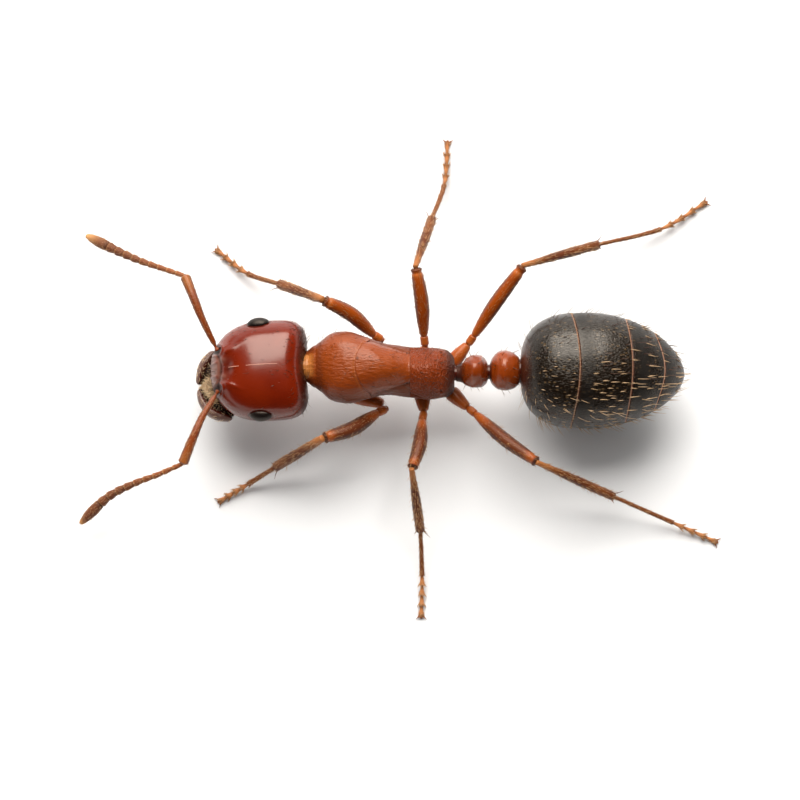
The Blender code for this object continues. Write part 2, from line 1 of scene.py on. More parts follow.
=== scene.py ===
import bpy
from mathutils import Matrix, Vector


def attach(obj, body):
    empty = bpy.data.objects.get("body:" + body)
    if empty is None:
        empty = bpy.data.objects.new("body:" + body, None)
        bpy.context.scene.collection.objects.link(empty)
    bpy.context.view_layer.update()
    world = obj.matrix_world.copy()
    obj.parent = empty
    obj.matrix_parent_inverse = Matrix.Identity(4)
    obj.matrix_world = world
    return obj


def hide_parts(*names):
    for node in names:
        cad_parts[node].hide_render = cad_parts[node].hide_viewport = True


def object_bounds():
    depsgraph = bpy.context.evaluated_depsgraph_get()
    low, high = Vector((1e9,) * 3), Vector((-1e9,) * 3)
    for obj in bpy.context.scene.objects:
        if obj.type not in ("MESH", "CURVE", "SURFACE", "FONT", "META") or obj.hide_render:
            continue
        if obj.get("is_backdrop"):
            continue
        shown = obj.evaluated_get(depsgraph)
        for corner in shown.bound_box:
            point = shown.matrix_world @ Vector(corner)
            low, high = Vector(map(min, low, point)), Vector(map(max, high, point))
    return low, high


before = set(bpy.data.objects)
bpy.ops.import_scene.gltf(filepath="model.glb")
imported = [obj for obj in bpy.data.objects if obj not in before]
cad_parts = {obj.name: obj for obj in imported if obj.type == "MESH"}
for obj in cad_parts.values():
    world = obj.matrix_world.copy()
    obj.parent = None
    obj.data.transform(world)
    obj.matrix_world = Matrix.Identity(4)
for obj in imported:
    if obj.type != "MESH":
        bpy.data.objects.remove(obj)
cad_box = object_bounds()

"""A fire ant, dressed over its solids: glossy shell plates, beaded feelers, jointed legs and bristles.

The head points along -X and the ant's right side along +Y. Every skin is a function of two shares, u
along the part and v round it, and the same function lays out its mesh and roots its bristles.
"""

import math

import bpy
import numpy as np
from mathutils import Matrix, Vector

MM = 0.001
TAU = 2.0 * math.pi
GAP = 0.010  # clear space between neighbouring pieces
INSET = 0.006  # how far the dressed skins lie inside the solids
LIP = 0.010  # radius of the rounded rim of a body plate
GASTER_LIP = 0.012
LAP = 0.002  # how far neighbouring plates run past the seam between them
TONES = ("dark", "pale", "grey")  # what a skin's marks may lay over its body colour; dark also carries painted shade, and pale and grey carry painted highlights and sheen

# Head, in its own frame: the middle of the head is the origin and the mouth lies along -X.
HEAD_PLACE = (-1.715, -0.010, 0.905)
HEAD_YAW = math.radians(2.0)  # turned a little to the ant's left
HEAD_PITCH = math.radians(-8.0)
HEAD_ROLL = math.radians(-5.0)
HEAD_HALF_WIDTH = 0.622
HEAD_RISE, HEAD_DROP = 0.41, 0.39
HEAD_SQUARENESS = 2.3
HEAD_MOUTH_X, HEAD_WIDEST_X, HEAD_NAPE_X = -0.59, 0.10, 0.61
NAPE_START_X = 0.25  # from here back the head is dented for the neck
NAPE_DENT, NAPE_DENT_WIDTH = 0.050, 0.28
LOBE_PLACE = (-0.40, 0.235)  # the two frontal lobes that roof the feelers' sockets
LOBE_SIZE = (0.13, 0.075)
LOBE_RISE = 0.036
SOCKET_PLACE = (-0.485, 0.245)  # the pits that hold the feelers
SOCKET_RADIUS, BALL_Z = 0.052, 0.165
CUSHION_PLACE = (-0.415, 0.105)  # two low swellings behind the face shield
SHIELD_REAR_X = -0.450  # rear edge of the face shield above the mouth
SHIELD_HALF_WIDTH = 0.215
PARTING_SPANS = ((-0.335, -0.195), (-0.110, 0.285))  # the fine line down the middle of the brow

EYE_PLACE = 0.025
EYE_ANGLES = {"L": math.radians(18.0), "R": math.radians(25.0)}  # above the widest line of the head
EYE_HALF_LENGTH = 0.135
EYE_HALF_TURN = 0.20  # its half-height, as an angle round the head
EYE_BULGE, EYE_RIM = 0.052, 0.008
EYE_DOME = 0.8  # the share of an eye's u that lies on its dome; the rest closes it beneath
EYE_FACET = 0.0125  # spacing of the eye's facets

JAW_TURN = math.radians(13.5)  # the closed jaws are carried a little to the left
JAW_DROP = -0.155
JAW_ARCS = {  # x and the distance out to the jaw's own side; the left jaw's tip crosses the midline
    "R": ((-0.48, 0.43), (-0.57, 0.36), (-0.655, 0.29), (-0.72, 0.203), (-0.765, 0.127), (-0.785, 0.085)),
    "L": ((-0.49, 0.44), (-0.605, 0.375), (-0.695, 0.305), (-0.755, 0.215), (-0.79, 0.10), (-0.792, -0.03)),
}
JAW_THICKNESS, JAW_HALF_HEIGHT, JAW_TEETH = 0.078, 0.095, 9
MOUTH_PLACE, MOUTH_HALF_SIZES = (-0.520, 0.0, -0.185), (0.215, 0.415, 0.055)

# Plates: x, middle y, half-width, top, bottom, and how much the back is narrower than the flanks.
THORAX_STATIONS = (
    (-1.127, 0.045, 0.200, 1.05, 0.82, 0.0), (-1.065, 0.045, 0.250, 1.11, 0.76, 0.0),
    (-0.966, 0.043, 0.310, 1.18, 0.71, 0.0), (-0.860, 0.040, 0.400, 1.24, 0.67, 0.0),
    (-0.756, 0.036, 0.436, 1.28, 0.64, 0.02), (-0.640, 0.030, 0.446, 1.31, 0.63, 0.05),
    (-0.370, 0.020, 0.375, 1.33, 0.62, 0.15), (-0.110, 0.006, 0.315, 1.28, 0.62, 0.35),
    (0.120, -0.020, 0.315, 1.17, 0.62, 0.45), (0.350, -0.035, 0.325, 1.20, 0.62, 0.35),
    (0.570, -0.030, 0.292, 1.09, 0.65, 0.25), (0.665, -0.030, 0.215, 0.95, 0.68, 0.10),
)
PETIOLE_STATIONS = (
    (0.670, -0.025, 0.100, 0.90, 0.72, 0.0), (0.750, -0.020, 0.120, 0.94, 0.70, 0.0),
    (0.810, -0.015, 0.172, 1.08, 0.69, 0.1), (0.900, -0.012, 0.205, 1.19, 0.68, 0.2),
    (0.985, -0.012, 0.200, 1.16, 0.68, 0.2), (1.050, -0.012, 0.150, 0.99, 0.70, 0.1),
    (1.080, -0.012, 0.100, 0.91, 0.73, 0.0),
)
POSTPETIOLE_STATIONS = (
    (1.090, -0.008, 0.100, 0.92, 0.73, 0.0), (1.130, -0.005, 0.175, 1.04, 0.70, 0.0),
    (1.205, 0.0, 0.238, 1.15, 0.67, 0.1), (1.285, 0.0, 0.252, 1.18, 0.66, 0.1),
    (1.370, 0.0, 0.232, 1.13, 0.67, 0.1), (1.462, 0.0, 0.165, 1.02, 0.72, 0.0),
)
COLLAR_X, SHOULDER_SEAM_X, WAIST_SEAM_X, THORAX_END_X = -1.127, -0.545, 0.120, 0.665
SHOULDER_SEAM_SWEEP = 0.20
THORAX_SQUARENESS, WAIST_SQUARENESS, GASTER_SQUARENESS = 2.3, 2.2, 2.1
BACK_PLATE_EDGE = ((-0.60, -0.35, -0.15, 0.12), (0.31, 0.325, 0.270, 0.185))  # x, distance out

# Gaster: one long egg that is parted at three seams.
GASTER_FRONT_X, GASTER_TIP_X = 1.465, 3.475
GASTER_WIDEST_X, GASTER_HIGHEST_X = 2.32, 2.22
GASTER_HALF_WIDTH = 0.720
GASTER_RISE, GASTER_DROP = 0.60, 0.60
GASTER_MIDDLE_Z = 0.90
GASTER_TIP_DROP, GASTER_NECK_DROP = 0.10, 0.02
GASTER_TIP_SWING = -0.03
GASTER_SEAMS = ((2.200, -0.115), (2.840, -0.085), (3.235, -0.13))  # x on the midline, sweep at the sides
GASTER_STEP = 0.006  # how far each plate's front edge lies below the plate before it
GASTER_END = 0.06  # share of a plate's u in which each of its ends closes
GASTER_PALE = (0.80, 0.85, 0.95, 0.0)  # how pale each plate's rear edge is
GASTER_SHADE_BANDS = (0.0, 0.10, 0.13, 0.05)  # where the painted shade band lies behind each plate's front edge, which runs in under the plate before

GASTER_HAIRS = ((420, 46), (420, 40), (150, 36), (80, 26))  # short and erect ones on each plate
GASTER_ROWS = (  # plate, bristles in the row, its share of the plate's length, their length, from and to
    (0, 7, 0.55, 0.060, (0.27, 0.62)), (0, 9, 0.72, 0.060, (0.26, 0.62)), (0, 11, 0.86, 0.060, (0.27, 0.64)),
    (1, 8, 0.22, 0.075, (0.26, 0.60)), (1, 10, 0.40, 0.130, (0.25, 0.61)), (1, 12, 0.56, 0.120, (0.26, 0.61)),
    (1, 13, 0.72, 0.110, (0.24, 0.62)), (1, 34, 0.935, 0.150, (0.0, 1.0)), (2, 24, 0.46, 0.150, (0.0, 1.0)),
    (2, 24, 0.910, 0.140, (0.0, 1.0)), (3, 14, 0.50, 0.120, (0.0, 1.0)),
)

SCAPE_ROUTES = {
    "R": ((-2.225, 0.29, 1.005), (-2.408, 0.60, 1.09), (-2.508, 0.85, 1.10), (-2.625, 1.150, 1.03)),
    "L": ((-2.235, -0.335, 0.985), (-2.405, -0.585, 1.08), (-2.52, -0.85, 1.10), (-2.65, -1.165, 1.02)),
}
LASH_ROUTES = {
    "R": ((-2.84, 1.23, 0.94), (-3.15, 1.355, 0.79), (-3.46, 1.51, 0.62), (-3.845, 1.730, 0.40)),
    "L": ((-2.94, -1.275, 0.91), (-3.25, -1.375, 0.76), (-3.57, -1.52, 0.57), (-3.91, -1.82, 0.36)),
}
SCAPE_RADII, LASH_RADII = (0.034, 0.070), (0.036, 0.070)
LASH_BEADS = 10
BEAD_OVERLAP = 0.008  # the share of a limb by which each of its beads reaches into the one before
LASH_BACK = 0.050  # how far the lash starts along the elbow
BEAD_ROWS = ((0.0, 0.72), (0.15, 0.78), (0.60, 0.97), (0.88, 1.05), (1.0, 0.85))
CLUB_ROWS = ((0.0, 0.78), (0.10, 0.93), (0.36, 1.02), (0.70, 0.82), (1.0, 0.38))  # the last bead
GOLDEN_TIPS = {"R": 0.42, "L": 0.16}  # how much of each lash's last bead is golden

LEGS = {  # root of the coxa, hip, knee, ankle, last joint, tip of the foot, bow of the thigh, stoutness
    "front_R": ((-0.59, 0.20, 0.505), (-0.25, 0.36, 0.525), (-0.93, 0.85, 1.00), (-1.485, 1.13, 0.42),
                (-1.88, 1.300, 0.13), (-2.25, 1.60, 0.020), -0.045, 1.08),
    "front_L": ((-0.58, -0.24, 0.505), (-0.20, -0.37, 0.535), (-0.93, -0.84, 0.98), (-1.53, -1.13, 0.38),
                (-1.87, -1.31, 0.12), (-2.21, -1.505, 0.020), 0.05, 1.08),
    "mid_R": ((0.27, 0.14, 0.505), (0.305, 0.34, 0.570), (0.195, 1.25, 1.00), (0.395, 1.95, 0.40),
              (0.545, 2.40, 0.13), (0.585, 2.935, 0.020), -0.02, 1.02),
    "mid_L": ((0.27, -0.22, 0.505), (0.29, -0.46, 0.560), (0.15, -1.21, 1.00), (0.25, -1.92, 0.38),
              (0.27, -2.44, 0.12), (0.26, -2.92, 0.020), 0.03, 1.02),
    "hind_R": ((0.62, 0.12, 0.540), (0.83, 0.36, 0.60), (1.50, 1.26, 1.04), (2.44, 1.615, 0.44),
               (3.21, 1.85, 0.13), (3.755, 2.19, 0.020), 0.012, 1.0),
    "hind_L": ((0.60, -0.20, 0.520), (0.83, -0.42, 0.58), (1.67, -1.145, 1.06), (2.62, -1.50, 0.44),
               (3.35, -1.785, 0.13), (3.87, -2.005, 0.020), -0.03, 0.98),
}
COXA_RADII, COXA_BELLY = (0.104, 0.056), 0.012
TROCHANTER_LENGTH, TROCHANTER_RADIUS = 0.11, 0.056
TROCHANTER_BACK, TROCHANTER_FORE = 0.045, 0.012  # how far it reaches into the joints on either side
FEMUR_RADII, FEMUR_BELLY = (0.044, 0.066), 0.036
FEMUR_BACK, FEMUR_ARCH = 0.030, 0.04  # how far a thigh reaches back, and how far its middle rises
BELLY_PLACE = 0.45  # where along a limb its belly is thickest
TIBIA_PROFILE = ((0.0, 0.034), (0.10, 0.038), (0.32, 0.052), (0.62, 0.061), (0.92, 0.061), (1.0, 0.055))
TIBIA_BACK = 0.055  # how far a shin reaches back into the knee
FRONT_SHIN_EXTRA = 0.010  # the front shins are thicker at the knee
TARSUS_RADII = (0.031, 0.028)
TARSUS_PROFILE = ((0.0, 0.85), (0.10, 0.90), (0.5, 0.98), (0.85, 1.05), (1.0, 1.25))
TARSUS_JOINTS, TARSUS_BACK = 4, 0.03
FOOT_JOINT_ROWS = ((0.0, 0.80), (0.25, 0.92), (0.72, 1.35), (0.92, 1.62), (1.0, 1.20))
LAST_JOINT_ROWS = ((0.0, 0.80), (0.3, 0.85), (0.8, 1.25), (1.0, 1.15))
THIGH_PAINTED_SHADES = {"R": 0.08, "L": 0.80}  # painted shade on the thighs' bellies: the left thighs, away from the window, get the most
CLAW_LENGTH, CLAW_SPREAD, CLAW_RADIUS = 0.050, 0.062, 0.0125
SPURS, SPUR_RADIUS = ((1.0, 0.075), (-1.0, 0.140)), 0.0085  # side and length
LEG_HAIRS = (  # 0 coxa to 3 tibia, hairs, length, width, lift in degrees, seed, spread, from and to
    (0, 60, 0.060, 0.0034, 35.0, 0, 0.30, (0.0, 1.0)),
    (1, 18, 0.050, 0.0034, 40.0, 1, 0.30, (0.0, 1.0)),
    (2, 260, 0.050, 0.0036, 14.0, 2, 0.15, (0.12, 0.95)),
    (2, 44, 0.075, 0.0052, 44.0, 6, 0.15, (0.15, 0.95)),
    (3, 300, 0.064, 0.0052, 14.0, 3, 0.10, (0.16, 0.97)),
    (3, 44, 0.085, 0.0056, 42.0, 4, 0.10, (0.20, 0.95)),
)

NECKS = (  # the three joints of the waist, from the thorax to the gaster: from, to, radius
    ((0.58, -0.028, 0.800), (0.80, -0.018, 0.830), 0.088),
    ((1.02, -0.012, 0.825), (1.15, -0.006, 0.835), 0.090),
    ((1.40, 0.0, 0.850), (1.54, 0.0, 0.860), 0.150),
)
COLLAR_ROUTE, COLLAR_RADII = ((-1.24, 0.03, 0.93), (-1.05, 0.04, 0.95)), (0.150, 0.170)
COLLAR_GLINT_SPACING = 0.020  # spacing of the collar's pale streaks, painted highlights over its amber

# The camera looks down from almost straight above.
VIEW_WIDTH = 9.76
VIEW_TILT = math.radians(7.0)
VIEW_AIM = (0.0, -0.357, 0.856)
LENS, SENSOR = 600.0, 36.0

# Lamps: place, size, power in watts and colour. All of them face the ant.
WINDOW = (-6.0, 60.0, 64.6), (92.0, 78.0), 0.180, (1.0, 0.955, 0.89)
FILL = (-6.0, 36.0, 100.0), (150.0, 150.0), 0.050, (1.0, 0.97, 0.93)
PANELS, PANEL_DISTANCE, PANEL_HEIGHT = 8, 120.0, 15.0  # low panels in a ring round the ant
PANEL_SIZE, PANEL_POWER, PANEL_COLOUR = (96.0, 26.0), 0.0098, (1.0, 0.97, 0.94)
ROOM_LIGHT, ROOM_COLOUR = 0.015, (0.95, 0.97, 1.0, 1.0)
FLOOR_REACH = 400.0
FLOOR_WHITE = (0.86, 0.88, 0.91)


# ---------------------------------------------------------------- sums on shapes


def ease(x, start, stop):
    """0 up to start, 1 from stop on, and 3t^2 - 2t^3 between them."""
    t = np.clip((x - start) / (stop - start), 0.0, 1.0)
    return t * t * (3.0 - 2.0 * t)


def between(ends, share):
    """The value that lies this share of the way from the first end to the second."""
    return ends[0] + (ends[1] - ends[0]) * share


def hump(distance, width):
    """A soft round hump: e to the power of minus the distance over the width, squared."""
    return np.exp(-((distance / width) ** 2))


def soft(u):
    """Shares from 0 to 1 that lie closer together toward both ends: half of 1 - cos of pi u."""
    return 0.5 - 0.5 * np.cos(math.pi * u)


def unit(arrows):
    """The same directions, each made one long."""
    return arrows / np.maximum(np.linalg.norm(arrows, axis=-1, keepdims=True), 1e-12)


def split(points):
    """The x, y and z of points."""
    return np.moveaxis(points, -1, 0)


def smooth_rows(rows, x):
    """The rows' values at x, on a curve that never swings past the rows it passes through."""
    table = np.array(rows, float)
    places, values = table[:, 0], table[:, 1:]
    steps = np.diff(places)[:, None]
    slopes = np.diff(values, axis=0) / steps
    rising = slopes[:-1] * slopes[1:] > 0.0
    total = np.where(rising, slopes[:-1] + slopes[1:], 1.0)
    inner = np.where(rising, 2.0 * slopes[:-1] * slopes[1:] / total, 0.0)
    tangents = np.vstack([slopes[:1], inner, slopes[-1:]])
    x = np.clip(x, places[0], places[-1])
    k = np.clip(np.searchsorted(places, x, side="right") - 1, 0, len(places) - 2)
    t = ((x - places[k]) / steps[k, 0])[..., None]
    start = values[k] * (1 + 2 * t) * (1 - t) ** 2 + steps[k] * tangents[k] * t * (1 - t) ** 2
    end = values[k + 1] * t**2 * (3 - 2 * t) + steps[k] * tangents[k + 1] * t**2 * (t - 1)
    return split(start + end)


def superellipse(angle, squareness):
    """The sideways and upward shares of a ring at an angle; squareness 2 is a plain circle."""
    return [np.sign(f(angle)) * abs(f(angle)) ** (2.0 / squareness) for f in (np.cos, np.sin)]


class Egg:
    """A rounded outline along X, widest at one place and closed at both ends.

    At x its half-width is (1 - t ** power) ** (1 / power) of the full one, where t is the
    distance from the widest place over the length of that side, front or rear.
    """

    def __init__(self, front_x, widest_x, rear_x, *powers):
        self.widest_x, self.powers = widest_x, powers
        self.lengths = (widest_x - front_x, rear_x - widest_x)

    def side(self, x):
        """The share t at x, and the power of that side."""
        ahead = x < self.widest_x
        t = np.clip(abs(x - self.widest_x) / np.where(ahead, *self.lengths), 0.0, 1.0)
        return t, np.where(ahead, *self.powers)

    def share(self, x):
        """The half-width at x as a share of the full one."""
        t, power = self.side(x)
        return (1.0 - t**power) ** (1.0 / power)

    def turn(self, x):
        """How far round the outline x lies, from -90 to 90 degrees."""
        t, power = self.side(x)
        return np.sign(x - self.widest_x) * np.arcsin(t ** (power / 2.0))

    def at(self, turn):
        """The x that lies this far round the outline."""
        length, power = (np.where(turn < 0.0, *pair) for pair in (self.lengths, self.powers))
        return self.widest_x + np.sign(turn) * length * abs(np.sin(turn)) ** (2.0 / power)


HEAD_PLAN = Egg(HEAD_MOUTH_X, HEAD_WIDEST_X, HEAD_NAPE_X, 2.35, 4.2)
HEAD_SIDE = Egg(HEAD_MOUTH_X, HEAD_WIDEST_X, HEAD_NAPE_X, 2.1, 2.8)
GASTER_PLAN = Egg(GASTER_FRONT_X, GASTER_WIDEST_X, GASTER_TIP_X, 2.8, 1.8)
GASTER_SIDE = Egg(GASTER_FRONT_X, GASTER_HIGHEST_X, GASTER_TIP_X, 2.6, 1.7)


class Path:
    """A smooth curve through points, with an upright frame at each share of its length.

    Between points b and c, with a before and d after them, the curve is the cubic that leaves b
    along c - a and reaches c along d - b.
    """

    def __init__(self, *points):
        route = np.array(points, float)
        padded = np.vstack([2 * route[0] - route[1], route, 2 * route[-1] - route[-2]])
        t = np.linspace(0.0, 1.0, 24, endpoint=False)[:, None]
        spans = [
            b + ((c - a) * t + (2 * a - 5 * b + 4 * c - d) * t**2 + (3 * b - a - 3 * c + d) * t**3) / 2.0
            for a, b, c, d in zip(padded, padded[1:], padded[2:], padded[3:])
        ]
        self.points = np.vstack([*spans, route[-1:]])
        steps = np.linalg.norm(np.diff(self.points, axis=0), axis=1)
        self.reach = np.concatenate([[0.0], np.cumsum(steps)])
        self.length = self.reach[-1]
        self.ahead = np.gradient(self.points, self.reach, axis=0)

    def frames(self, share):
        """The curve's points there and the unit arrows sideways and upward."""
        wanted = np.asarray(share) * self.length
        middle, forward = (
            np.stack([np.interp(wanted, self.reach, column) for column in table.T], -1)
            for table in (self.points, self.ahead)
        )
        forward = unit(forward)
        side = unit(np.cross(forward, (0.0, 0.0, 1.0)))
        return middle, side, np.cross(side, forward)


class Skin:
    """A closed surface: form(u, v) gives its points, relief lifts them along its outward direction."""

    def __init__(self, form, relief=None, marks=None):
        self.form, self.relief, self.marks = form, relief, marks
        self.sign = 1.0
        u, v = np.full(24, 0.5), np.arange(24) / 24.0
        ring = form(u, v)
        outward = (self.directions(u, v) * (ring - ring.mean(axis=0))).sum()
        self.sign = math.copysign(1.0, outward)

    def steps(self, u, v, step=0.002):
        """How the surface runs along and round itself: the difference of two points a step apart."""
        u = np.clip(u, 2 * step, 1.0 - 2 * step)
        along = self.form(u + step, v) - self.form(u - step, v)
        return along, self.form(u, v + step) - self.form(u, v - step)

    def directions(self, u, v):
        """The outward direction: the cross product of the runs round and along, made one long."""
        along, around = self.steps(u, v)
        return self.sign * unit(np.cross(around, along))

    def place(self, u, v):
        """Points of the skin with its relief."""
        points = self.form(u, v)
        if self.relief is None:
            return points
        return points + self.directions(u, v) * self.relief(points)[..., None]

    def grid(self, rows, columns):
        """Points in rows of columns, and the tones there."""
        u, v = np.meshgrid(np.linspace(0.0, 1.0, rows), np.arange(columns) / columns, indexing="ij")
        points = self.place(u, v)
        tones = np.zeros((rows, columns, len(TONES)))
        for k, tone in enumerate(self.marks(points, u, v) if self.marks else ()):
            tones[..., k] = np.clip(tone, 0.0, 1.0)
        return points, tones


class Work:
    """Closed shapes gathered into one mesh, with their map and their tones."""

    def __init__(self, *skins):
        """Each skin comes with its numbers of rows and columns."""
        self.shapes, self.count = [], 0
        for skin, rows, columns in skins:
            self.add_skin(skin, rows, columns)

    def add(self, points, tones, corners, sizes, maps):
        """One closed shape, kept above the floor."""
        points = np.maximum(points, (-np.inf, -np.inf, 0.0))
        self.shapes.append((points, tones, corners + self.count, sizes, maps))
        self.count += len(points)

    def add_skin(self, skin, rows, columns):
        """Rings one after the other, each closed on itself, with a fan to a pole at either end."""
        points, tones = skin.grid(rows, columns)
        ring = np.arange(rows * columns).reshape(rows, columns)
        after = np.roll(ring, -1, axis=1)
        front, rear = (np.full(columns, rows * columns + k) for k in (0, 1))
        u, v = np.meshgrid(np.arange(rows) / (rows - 1), np.arange(columns) / columns, indexing="ij")
        near, far = np.stack([u, v], -1), np.stack([u, v + 1.0 / columns], -1)
        faces = (
            ((ring[:-1], after[:-1], after[1:], ring[1:]), (near[:-1], far[:-1], far[1:], near[1:])),
            ((after[0], ring[0], front), (far[0], near[0], near[0])),
            ((ring[-1], after[-1], rear), (near[-1], far[-1], near[-1])),
        )
        turn = slice(None, None, int(skin.sign))  # so that every face looks outward
        corners = [np.stack(face[turn], -1).ravel() for face, _ in faces]
        maps = [np.stack(places[turn], -2).reshape(-1, 2) for _, places in faces]
        sizes = np.repeat((4, 3), ((rows - 1) * columns, 2 * columns))
        points, tones = (
            np.vstack([table.reshape(-1, 3), table[0].mean(axis=0), table[-1].mean(axis=0)])
            for table in (points, tones)
        )
        self.add(points, tones, np.concatenate(corners), sizes, np.concatenate(maps))

    def finish(self, name, look, slot, replaced=(), map_name="skin"):
        """The mesh object in metres, riding on the body, with its finish; the solids it stands for are
        hidden.
        """
        points, tones, corners, sizes, maps = (np.concatenate(rows) for rows in zip(*self.shapes))
        mesh = bpy.data.meshes.new(name)
        mesh.vertices.add(len(points))
        mesh.vertices.foreach_set("co", (points * MM).ravel().astype(np.float32))
        mesh.loops.add(len(corners))
        mesh.loops.foreach_set("vertex_index", corners.astype(np.int32))
        mesh.polygons.add(len(sizes))
        mesh.polygons.foreach_set("loop_start", (np.cumsum(sizes) - sizes).astype(np.int32))
        mesh.update(calc_edges=True)
        mesh.uv_layers.new(name=map_name).uv.foreach_set("vector", maps.ravel().astype(np.float32))
        for tone, values in zip(TONES, tones.T.astype(np.float32)):
            mesh.attributes.new(tone, "FLOAT", "POINT").data.foreach_set("value", values.copy())
        mesh.shade_smooth()
        mesh.validate()
        mesh.materials.append(FINISHES[look])
        piece = bpy.data.objects.new(name, mesh)
        bpy.context.scene.collection.objects.link(piece)
        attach(piece, "root")
        if replaced:
            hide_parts(*replaced)


# ---------------------------------------------------------------- materials


class Tone:
    """A socket that takes part in sums: each operator adds one Math node."""

    def __init__(self, finish, socket):
        self.finish, self.socket = finish, socket

    def math(self, operation, *values):
        """A Math node on these values, sockets or plain numbers."""
        return self.finish.node("Math", {"operation": operation}, dict(enumerate(values)))

    def __add__(self, other):
        return self.math("ADD", self, other)

    def __mul__(self, other):
        return self.math("MULTIPLY", self, other)

    def __sub__(self, other):
        return self.math("SUBTRACT", self, other)

    def __rsub__(self, other):
        return self.math("SUBTRACT", other, self)

    def ease(self, start, stop):
        """0 up to start, 1 from stop on, and smooth between them."""
        ends = {"Value": self, "From Min": start, "From Max": stop}
        return self.finish.node("MapRange", {"interpolation_type": "SMOOTHSTEP"}, ends)

    __radd__ = __add__
    __rmul__ = __mul__


class Finish:
    """A material in the making: a Principled shader and the nodes that vary it over the surface."""

    def __init__(self, name, **constants):
        self.material = bpy.data.materials.new(name)
        self.material.use_nodes = True
        self.tree = self.material.node_tree
        self.shader = next(node for node in self.tree.nodes if node.type == "BSDF_PRINCIPLED")
        for key, value in constants.items():
            self.set(key.replace("_", " "), value)
        metres = self.node("TexCoord", output="Object")
        self.here = self.node("VectorMath", {"operation": "SCALE"}, {0: metres, "Scale": 1.0 / MM})

    def node(self, kind, settings=(), inputs=(), output=0):
        """A node of this kind: its settings are made first, then its sockets are filled or linked."""
        made = self.tree.nodes.new("ShaderNode" + kind)
        for key, value in dict(settings).items():
            setattr(made, key, value)
        for key, value in dict(inputs).items():
            self.fill(made.inputs[key], value)
        return Tone(self, made.outputs[output])

    def fill(self, socket, value):
        """A link into the socket, or a plain value on it."""
        if isinstance(value, Tone):
            self.tree.links.new(value.socket, socket)
        else:
            socket.default_value = (*value, 1.0) if socket.type == "RGBA" and len(value) == 3 else value

    def stretched(self, stretch, where):
        """The place on the ant, or another place, with its axes stretched."""
        return self.node("VectorMath", {"operation": "MULTIPLY"}, {0: where or self.here, 1: stretch})

    def noise(self, scale, detail=2.0, roughness=0.5, stretch=(1.0, 1.0, 1.0), where=None):
        """Soft cloudy noise, about 0 to 1, with this many cells per millimetre along each axis."""
        inputs = {"Vector": self.stretched(stretch, where), "Scale": scale, "Detail": detail}
        return self.node("TexNoise", (), inputs | {"Roughness": roughness})

    def cells(self, scale, start, stop, feature="F1", stretch=(1.0, 1.0, 1.0)):
        """0 up to start from scattered points, or from the edges between them, and 1 from stop on."""
        inputs = {"Vector": self.stretched(stretch, None), "Scale": scale}
        return self.node("TexVoronoi", {"feature": feature}, inputs, "Distance").ease(start, stop)

    def tone(self, name):
        """One of the skin's tones."""
        return self.node("Attribute", {"attribute_name": name}, output="Fac")

    def mix(self, share, first, second):
        """The first colour where share is 0, the second where it is 1."""
        return self.node("Mix", {"data_type": "RGBA"}, {0: share, 6: first, 7: second}, output=2)

    def set(self, socket, value):
        """A link or a constant on the shader itself."""
        self.fill(self.shader.inputs[socket], value)


GRAINS = {  # the height of the skin's fine relief, in millimetres
    # faint orange-peel and sparse pin-prick pores
    "smooth": lambda f: f.noise(26.0) * 0.0005 + f.cells(8.0, 0.0, 0.12) * 0.0075,
    # short wavy ripples that run along the body, with pores between them
    "ripple": lambda f: f.noise(15.0, 3.0, 0.6, (0.6, 2.2, 2.2)) * 0.0135 + f.cells(12.0, 0.0, 0.16) * 0.0024,
    # a net of small shallow pits with ridges between them, drawn out across the back
    "net": lambda f: f.cells(22.0, 0.0, 0.22, "DISTANCE_TO_EDGE", (1.2, 0.8, 0.8)) * -0.0062
    + f.noise(22.0, 3.0, stretch=(1.5, 0.5, 1.0)) * 0.0095,
    # very fine scaly leather with pits
    "leather": lambda f: f.cells(30.0, 0.0, 0.16, "DISTANCE_TO_EDGE", (0.6, 1.3, 1.3)) * 0.0014
    + f.noise(22.0, 3.0) * 0.0022 + f.cells(10.0, 0.0, 0.15, stretch=(0.6, 1.2, 1.2)) * 0.0060,
    # crinkled skin with a few pits
    "knot": lambda f: f.noise(20.0, 3.0, 0.6, (1.3, 0.8, 1.0)) * 0.0100 + f.cells(9.0, 0.0, 0.15) * 0.004,
    # the fine facets of an eye
    "facets": lambda f: f.cells(55.0, 0.0, 0.6) * -0.0010,
    # long fine strokes, as if combed, from the short hairs that lie flat
    "strokes": lambda f: 0.004 * f.noise(
        1.0, 3.0, 0.6, (9.0, 34.0, 1.0), where=f.node("UVMap", {"uv_map": "skin"})),
}


def shell_finish(
    name, body, deep, dark, pale, roughness, grain, coat=0.0, grey=(0.12, 0.085, 0.085), gloss=0.28,
    fleck=None, tint=(1.0, 0.84, 0.72)
):
    """Glossy shell: a body colour that clouds into a deeper one, with the skin's marks laid over."""
    polish = {"Specular_IOR_Level": gloss, "Specular_Tint": tint, "Coat_Roughness": 0.15, "Coat_IOR": 1.5}
    finish = Finish(name, IOR=1.56, **polish)
    clouds = finish.noise(2.2, 3.0).ease(0.35, 0.70)
    mottle = finish.noise(14.0)
    colour = finish.mix(clouds * 0.55 + mottle * 0.25, body, deep)
    if fleck:
        spots = 0.9 - finish.cells(19.0, 0.12, 0.34, stretch=(0.6, 1.2, 1.2)) * 0.9
        colour = finish.mix(spots, colour, fleck)
    for tone, over in (("dark", dark), ("grey", grey), ("pale", pale)):
        colour = finish.mix(finish.tone(tone), colour, over)
    finish.set("Base Color", colour)
    if coat:
        finish.set("Coat Weight", coat - finish.tone("dark") * (0.9 * coat))
    rough = mottle * 0.10 + finish.tone("dark") * 0.20 + finish.tone("grey") * 0.15 + (roughness - 0.05)
    finish.set("Roughness", rough)
    height = GRAINS[grain](finish)
    finish.set("Normal", finish.node("Bump", (), {"Strength": 1.0, "Distance": MM, "Height": height}))
    return finish.material


